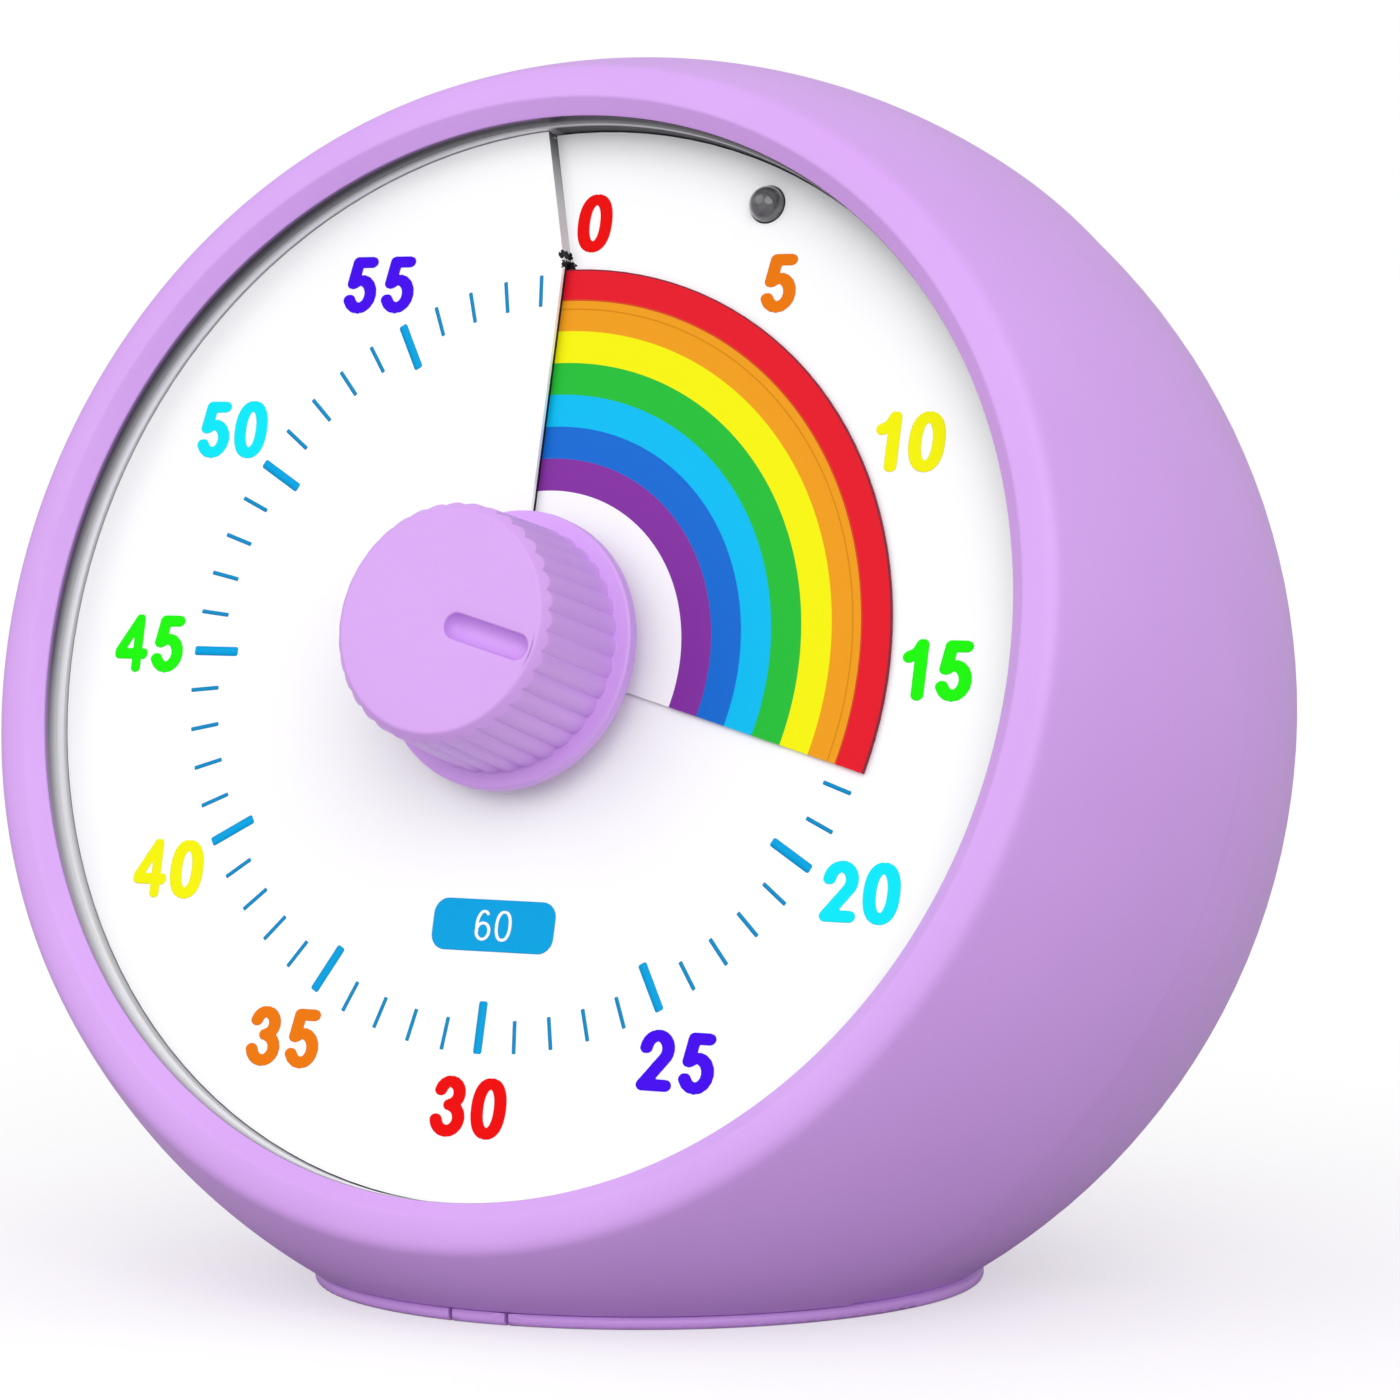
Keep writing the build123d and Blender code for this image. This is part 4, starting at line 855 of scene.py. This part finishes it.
def rim_liner():
    """The grey ring inside the rim: a thin wall with a fine step round its bore."""
    outer = liner_bore + liner_wall
    bore = liner_bore + liner_step
    profile = [
        (outer, liner_foot),
        (outer, lip_bottom),
        (bore, lip_bottom),
        (bore, liner_line),
        (liner_bore, liner_line),
        (liner_bore, liner_foot),
    ]
    points = revolved(profile, [0, 0, 0, 0, liner_trim, 0])
    return [(points, grid_faces(len(points), RING_COLUMNS, True, True))]


piece("rim_liner_ring", rim_liner(), "housing", LINER, ("rim_liner",))


# ---- knob ----

# rows between the groove and the edge of the face, and between the top and the foot of a rib
FACE_SHARES = (0.15, 0.4, 0.7)
GRIP_SHARES = (0.35, 0.7)
# the height of a rib's top edge settles to under a micron in this many passes
EDGE_PASSES = 6


def knob():
    """The knob as rings of 576 points from the middle of its face to its bore. On the face a point
    lies s away from the segment down the middle of the pointer, and in the groove its depth is
    that of a ball nose, sqrt(r^2 - s^2). A rib's outline about its own centre c is
    c cos d + sqrt(r^2 - c^2 sin^2 d), where c shrinks with the height by the draft."""
    columns = ribs * POINTS_PER_RIB
    step = 360 / columns
    clock = np.radians(disc_setting + groove_phase + step * np.arange(columns))
    aim = radians(disc_setting)
    face_x = face_radius * np.cos(clock - aim)
    face_y = face_radius * np.sin(clock - aim)
    half = pointer_width / 2
    medial = np.clip(face_x, pointer_start + half, pointer_end - half)
    away = np.stack([face_x - medial, face_y], axis=-1)
    reach = np.linalg.norm(away, axis=-1)
    away = away / reach[:, None]

    def face_row(distance, height):
        x = medial + distance * away[:, 0]
        y = distance * away[:, 1]
        return np.stack([np.hypot(x, y), np.arctan2(y, x) + aim, np.full(columns, height)], axis=-1)

    rows = []
    floor = knob_face - pointer_straight
    for share in np.linspace(0, pi / 2, GROOVE_ROWS):
        rows.append(face_row(half * np.sin(share), floor - half * np.cos(share)))
    wall_top = knob_face - pointer_trim
    rows.append(face_row(half, wall_top))
    for share in np.linspace(0, pi / 2, GROOVE_EDGE_ROWS)[1:]:
        rise = pointer_trim * np.sin(share)
        rows.append(face_row(half + pointer_trim * (1 - np.cos(share)), wall_top + rise))
    near = half + pointer_trim
    for share in FACE_SHARES:
        rows.append(face_row(near + (reach - near) * share, knob_face))

    within = (np.arange(columns) % POINTS_PER_RIB) / POINTS_PER_RIB * (360 / ribs) - 180 / ribs
    offset = np.radians(within)
    draft = atan((grip_foot - grip_top) / (knob_face - chamfer_height - flange_top))
    cone_slope = chamfer_height / (grip_top - face_radius)

    def rib_reach(height):
        centre = grip_foot - rib_radius - tan(draft) * (height - flange_top)
        return centre * np.cos(offset) + np.sqrt(rib_radius**2 - (centre * np.sin(offset)) ** 2)

    edge = np.full(columns, knob_face - chamfer_height)
    for _ in range(EDGE_PASSES):
        edge = knob_face - cone_slope * (rib_reach(edge) - face_radius)

    def ring(radius, height):
        radius = np.broadcast_to(radius, (columns,))
        return np.stack([radius, np.broadcast_to(height, (columns,))], axis=-1)

    grip = []
    for share in GRIP_SHARES:
        level = edge + (flange_top - edge) * share
        grip.append(ring(rib_reach(level), level))
    corners = np.stack(
        [
            ring(face_radius - face_rest, knob_face),
            ring(face_radius, knob_face),
            ring(rib_reach(edge), edge),
            *grip,
            ring(rib_reach(np.full(columns, flange_top)), flange_top),
            ring(flange_radius, flange_top),
            ring(flange_radius, flange_bottom),
            ring(grip_foot - knob_skin, flange_bottom),
            ring(grip_top - knob_skin, knob_face - 2 * knob_skin),
            ring(knob_boss, knob_face - 2 * knob_skin),
            ring(knob_boss, boss_bottom),
        ]
    )
    trims = [0, chamfer_trim, rib_top_trim, 0, 0, rib_foot_trim, flange_trim, flange_under_trim]
    trims += [0] * (len(corners) - len(trims))
    outside = rounded(corners, trims, KNOB_STEPS)[1:]
    turns = np.broadcast_to(clock, outside.shape[:2])
    outside = np.stack([outside[..., 0], turns, outside[..., 1]], axis=-1)
    bore = arbor_flat / np.maximum(np.sin(clock), arbor_flat / arbor_hole)
    hole = []
    for height in (boss_bottom, arbor_end):
        hole.append(np.stack([bore, clock, np.full(columns, height)], axis=-1))
    end = np.stack([np.zeros(columns), clock, np.full(columns, arbor_end)], axis=-1)
    profile = np.concatenate([np.stack(rows), outside, np.stack(hole), end[None]])
    points = turned(profile[..., 0], profile[..., 2], profile[..., 1])
    return [(points, grid_faces(len(points), columns, False, True))]


piece("knob_moulding", knob(), "knob_group", LILAC, ("knob",), crease=26.0)


# ---- indicator ----


def indicator():
    """The indicator: half a ball, (r cos a, r sin a) over its shoulder, on a short round stem, turned
    about its own axis, which stands beside the dial's."""
    around = np.linspace(0, 2 * pi, DOME_COLUMNS, endpoint=False)
    bow = np.linspace(0, pi / 2, DOME_ROWS)
    shoulder = led_tip - led_radius
    radius = np.concatenate([[0], [led_radius], led_radius * np.cos(bow)])
    height = np.concatenate([[led_rim], [led_rim], shoulder + led_radius * np.sin(bow)])
    x = led_ring * np.sin(radians(led_angle)) + radius[:, None] * np.cos(around)
    y = led_ring * np.cos(radians(led_angle)) + radius[:, None] * np.sin(around)
    points = dial_points(x, y, height[:, None])
    return [(points, grid_faces(len(points), DOME_COLUMNS, False, True))]


piece("indicator_dome", indicator(), "housing", EPOXY, ("indicator_led",))


# ---- print on the dial ----

DIAL_MINUTES = 60
NUMERAL_STEP = 5


def ramp_height(x, y):
    """Height of the plate's face: it climbs clockwise by the pitch in one turn from the slit, which
    runs straight up beside the 0 and leans outside the slit's end."""
    clock = np.degrees(np.arctan2(x, y))
    radius = np.hypot(x, y)
    lean = seam_lean * np.maximum(radius - slit_end, 0) / (plate_radius - slit_end)
    late = (clock < 0) & ((y < 0) | (x < -seam_offset - lean))
    return plate_start + dial_pitch * np.where(late, clock + 360, clock) / 360


def print_piece(name, x, y, face_sets, ink, lift=ink_lift):
    """A flat print: a sheet on the plate's face, given its thickness by Solidify."""
    points = dial_points(x, y, ramp_height(x, y) + lift)
    shown = piece(name, [(points, *face_sets)], "housing", ink, closed=False)
    film = shown.modifiers.new("film", "SOLIDIFY")
    film.thickness = ink_film * MM
    film.offset = 1.0
    return shown


def arc(centre, radii, start, end, count=14, power=1.0):
    """Points of an ellipse's arc from a start to an end angle, in degrees anticlockwise from +x. A
    power under 1 of the cosine and sine squares the ellipse."""
    angle = np.radians(np.linspace(start, end, count))
    along = np.stack([np.cos(angle), np.sin(angle)], axis=-1)
    return centre + np.sign(along) * np.abs(along) ** power * radii


# Middle lines of the digits, in a box from -1 to 1 each way
STROKES = {
    "0": [arc((0, 0), (1, 1), 0, 360, 40, 0.87)],
    "1": [[(0.65, 1), (0.65, -1)], [(0.65, 1), (0.3, 0.66), (-0.36, 0.5)]],
    "2": [np.vstack([arc((0, 0.46), (0.95, 0.54), 175, -35), [(-0.95, -0.97), (1.0, -0.97)]])],
    "3": [arc((-0.05, 0.53), (0.85, 0.47), 165, -85), arc((-0.05, -0.47), (1.0, 0.53), 80, -170)],
    "4": [
        [(0.7, -1.06), (0.62, 1.05), (-1.0, -0.34), (-1.0, -0.5), (1.22, -0.5), (1.22, -0.4), (-0.9, -0.4)]
    ],
    "5": [
        np.vstack(
            [[(0.85, 0.97), (-0.42, 0.97), (-0.72, 0.06)], arc((0, -0.4), (1.0, 0.6), 128, -155)]
        )
    ],
    "6": [arc((0, -0.42), (0.95, 0.58), 0, 360, 32), arc((0, 0), (0.95, 1.0), 55, 205, 24)],
}
# how heavy the strokes of a digit are beside the others
STROKE_WEIGHTS = {"4": 0.8}


def stroke_distance(x, y, lines, half_width, half_height, stroke):
    """Signed distance to the edge of strokes: the distance to the nearest segment, less half the
    stroke. It is measured with y stretched, so that level strokes come out thinner."""
    nearest = np.full(x.shape, np.inf)
    y = y * digit_slimming
    for line in lines:
        path = np.asarray(line) * (half_width, half_height * digit_slimming)
        for start, end in zip(path[:-1], path[1:]):
            run = end - start
            share = ((x - start[0]) * run[0] + (y - start[1]) * run[1]) / (run @ run)
            share = np.clip(share, 0, 1)
            gap = np.hypot(x - start[0] - share * run[0], y - start[1] - share * run[1])
            nearest = np.minimum(nearest, gap)
    return nearest - stroke / 2


def contour_mesh(distance, half_width, half_height, cell):
    """The inside of a signed distance as a grid: the grid's points within half a cell of the edge
    are moved onto it along the gradient, and a cell with three corners inside is a triangle."""
    across = np.arange(-half_width, half_width + cell, cell)
    upward = np.arange(-half_height, half_height + cell, cell)
    x, y = np.meshgrid(across, upward)
    depth = distance(x, y)
    slope_y, slope_x = np.gradient(depth, cell)
    size = np.maximum(slope_x**2 + slope_y**2, digit_slope)
    near = np.abs(depth) <= 0.5 * cell
    x = np.where(near, x - depth * slope_x / size, x)
    y = np.where(near, y - depth * slope_y / size, y)
    inside = near | (depth < 0)
    quads = grid_faces(*x.shape, False, False)
    held = inside.ravel()[quads]
    whole = quads[held.all(axis=1)]
    partial = held.sum(axis=1) == 3
    three = quads[partial][held[partial]].reshape(-1, 3)
    used = np.unique(np.concatenate([whole.ravel(), three.ravel()]))
    renumber = np.zeros(x.size, int)
    renumber[used] = np.arange(len(used))
    return x.ravel()[used], y.ravel()[used], (renumber[whole], renumber[three])


def digits(name, text, centre, ink, height, width, stroke, pitch, lift=ink_lift):
    """Digits side by side, as one print about a centre."""
    all_x = []
    all_y = []
    all_faces = []
    start = 0
    for number, symbol in enumerate(text):
        middle = centre[0] + pitch * (number - (len(text) - 1) / 2)
        half_width = (width - stroke) / 2
        half_height = (height - stroke / digit_slimming) / 2
        weight = stroke * STROKE_WEIGHTS.get(symbol, 1.0)

        def distance(x, y, lines=STROKES[symbol]):
            return stroke_distance(x, y, lines, half_width, half_height, weight)

        cell = digit_cell * height / digit_height
        x, y, face_sets = contour_mesh(distance, width / 2 + 2 * cell, height / 2 + 2 * cell, cell)
        all_faces += [cells + start for cells in face_sets]
        all_x.append(x + middle)
        all_y.append(y + centre[1])
        start += len(x)
    return print_piece(name, np.concatenate(all_x), np.concatenate(all_y), all_faces, ink, lift)


RED = printing_ink("red", "#E90000")
ORANGE = printing_ink("orange", "#E87600")
YELLOW = printing_ink("yellow", "#F0EE00")
GREEN = printing_ink("green", "#19F200")
CYAN = printing_ink("cyan", "#00E4F2")
VIOLET = printing_ink("violet", "#4300E8")
BLUE = printing_ink("blue", "#00A0DC")
DEEP_BLUE = printing_ink("deep_blue", "#0C8CC4")
WHITE = printing_ink("white", "#FAFCFF")
NUMERALS = {
    "0": ((0.62, 36.47), RED),
    "5": ((18.38, 31.24), ORANGE),
    "10": ((31.46, 18.22), YELLOW),
    "15": ((36.22, 0.0), GREEN),
    "20": ((32.28, -17.7), CYAN),
    "25": ((18.05, -31.74), VIOLET),
    "30": ((-0.1, -36.44), RED),
    "35": ((-18.24, -31.8), ORANGE),
    "40": ((-31.61, -18.46), YELLOW),
    "45": ((-36.53, 0.43), GREEN),
    "50": ((-31.17, 18.79), CYAN),
    "55": ((-18.58, 31.16), VIOLET),
}
for text, (centre, ink) in NUMERALS.items():
    digits(
        "numeral_" + text, text, centre, ink, digit_height, digit_width, digit_stroke, digit_pitch
    )


def ticks(name, minutes, inner, width, ink):
    """Strokes with round ends, one for each of the minutes: each is a strip along the radius. In its
    ends the half width is w/2 sqrt(sin a), where the strip has run a share of w (1 - cos a)."""
    bow = np.linspace(cap_start, pi / 2, CAP_ROWS)
    cap = cap_length * width * (1 - np.cos(bow))
    along = np.concatenate([inner + cap, tick_outer - cap[::-1]])
    half = width / 2 * np.sqrt(np.sin(np.concatenate([bow, bow[::-1]])))
    turn = np.array(minutes)[:, None, None] / DIAL_MINUTES
    angle = 2 * pi * turn
    start, end = tick_drift
    across = np.array([-1, 0, 1])
    side = across * half[:, None]
    radius = along[:, None] * np.ones(len(across))
    x = radius * np.sin(angle) + side * np.cos(angle) + start[0] + (end[0] - start[0]) * turn
    y = radius * np.cos(angle) - side * np.sin(angle) + start[1] + (end[1] - start[1]) * turn
    cells = grid_faces(len(along), len(across), False, False)[:, ::-1]
    faces = cells + radius.size * np.arange(len(minutes))[:, None, None]
    return print_piece(name, x.ravel(), y.ravel(), [faces.reshape(-1, 4)], ink)


minutes_between = [minute for minute in range(DIAL_MINUTES) if minute % NUMERAL_STEP]
ticks("minute_ticks", minutes_between, tick_inner, tick_width, DEEP_BLUE)
minutes_named = range(0, DIAL_MINUTES, NUMERAL_STEP)
ticks("hour_ticks", minutes_named, hour_tick_inner, hour_tick_width, BLUE)


def plaque():
    """A blue field with round corners under the middle of the dial, and 60 on it in white."""
    corner = plaque_corner

    def distance(x, y):
        over_x = np.maximum(np.abs(x) - plaque_width / 2 + corner, 0)
        over_y = np.maximum(np.abs(y) - plaque_height / 2 + corner, 0)
        inner = np.maximum(np.abs(x) - plaque_width / 2, np.abs(y) - plaque_height / 2)
        outside = np.hypot(over_x, over_y) - corner
        return np.where((over_x > 0) & (over_y > 0), outside, inner)

    half_width = plaque_width / 2 + plaque_margin
    half_height = plaque_height / 2 + plaque_margin
    x, y, face_sets = contour_mesh(distance, half_width, half_height, plaque_cell)
    print_piece("plaque_field", x + plaque_centre[0], y + plaque_centre[1], face_sets, BLUE)
    digits(
        "plaque_numeral",
        "60",
        plaque_centre,
        WHITE,
        plaque_digit_height,
        plaque_digit_width,
        plaque_digit_stroke,
        plaque_digit_pitch,
        ink_lift + ink_film + plaque_ink_gap,
    )


plaque()


# ---- stage ----

FLOOR_REACH = 60.0
# the floor lies this much under the base, in mm, so that no two faces share a plane
FLOOR_DROP = 0.02
FLOOR_TONE = 0.52
FLOOR_LIFT = 0.51
SKY_LEVEL = 0.75
SKY_SHEEN = 0.55
LAMPS = [
    ("key", (0.51, -0.72, 0.44), 1.1),
    ("fill", (-0.45, -0.73, 0.44), 0.53),
]
LAMP_WIDTH = 50.0


def lamp(name, place, level):
    """A wide soft sun from the direction of a place."""
    data = bpy.data.lights.new(name, "SUN")
    data.energy = level
    data.angle = radians(LAMP_WIDTH)
    shown = bpy.data.objects.new(name, data)
    shown.location = place
    shown.rotation_euler = (-Vector(place)).to_track_quat("-Z", "Y").to_euler()
    bpy.context.scene.collection.objects.link(shown)


def floor():
    """A pale floor out to the horizon, just clear of the base. It is lifted to white for the camera
    alone, and keeps the object's shadow."""
    mesh = bpy.data.meshes.new("floor")
    corners = FLOOR_REACH * np.array([(-1, -1, 0), (1, -1, 0), (1, 1, 0), (-1, 1, 0)])
    corners[:, 2] = -FLOOR_DROP * MM
    mesh.from_pydata(corners.tolist(), [], [(0, 1, 2, 3)])
    shown = bpy.data.objects.new("floor", mesh)
    bpy.context.scene.collection.objects.link(shown)
    material = bpy.data.materials.new("pale_floor")
    material.use_nodes = True
    tree = material.node_tree
    tree.nodes.clear()
    rays = add(tree, "ShaderNodeLightPath")
    tone = (FLOOR_TONE, FLOOR_TONE, FLOOR_TONE, 1.0)
    diffuse = add(tree, "ShaderNodeBsdfDiffuse", {"Color": tone})
    sockets = {0: rays.outputs["Is Camera Ray"], 1: FLOOR_LIFT}
    lift = add(tree, "ShaderNodeMath", sockets, operation="MULTIPLY")
    glow = add(tree, "ShaderNodeEmission", {"Strength": lift.outputs["Value"]})
    both = add(tree, "ShaderNodeAddShader", {0: diffuse.outputs["BSDF"], 1: glow.outputs["Emission"]})
    add(tree, "ShaderNodeOutputMaterial", {"Surface": both.outputs["Shader"]})
    mesh.materials.append(material)


def sky():
    """An even sky: white to the camera, and with its own levels for light and for reflections."""
    world = bpy.data.worlds.new("sky")
    world.use_nodes = True
    tree = world.node_tree
    tree.nodes.clear()
    rays = add(tree, "ShaderNodeLightPath")
    level = SKY_LEVEL
    for ray, value in (("Is Glossy Ray", SKY_SHEEN), ("Is Camera Ray", 1.0)):
        sockets = {"Factor": rays.outputs[ray], "A": level, "B": value}
        level = add(tree, "ShaderNodeMix", sockets).outputs["Result"]
    light = add(tree, "ShaderNodeBackground", {"Color": (1, 1, 1, 1), "Strength": level})
    add(tree, "ShaderNodeOutputWorld", {"Surface": light.outputs["Background"]})
    bpy.context.scene.world = world


def camera():
    """The camera, from a place and two of its axes."""
    data = bpy.data.cameras.new("camera")
    data.lens = CAMERA_LENS
    data.clip_start = 0.01
    data.clip_end = 2 * FLOOR_REACH
    shown = bpy.data.objects.new("camera", data)
    forward = Vector(CAMERA_FORWARD).normalized()
    right = Vector(CAMERA_RIGHT)
    right = (right - forward * right.dot(forward)).normalized()
    turn = Matrix((right, right.cross(forward), -forward)).transposed().to_4x4()
    shown.matrix_world = Matrix.Translation(CAMERA_PLACE) @ turn
    bpy.context.scene.collection.objects.link(shown)
    bpy.context.scene.camera = shown


bpy.context.scene.view_settings.view_transform = "Standard"
floor()
sky()
camera()
for lamp_name, lamp_place, lamp_level in LAMPS:
    lamp(lamp_name, lamp_place, lamp_level)
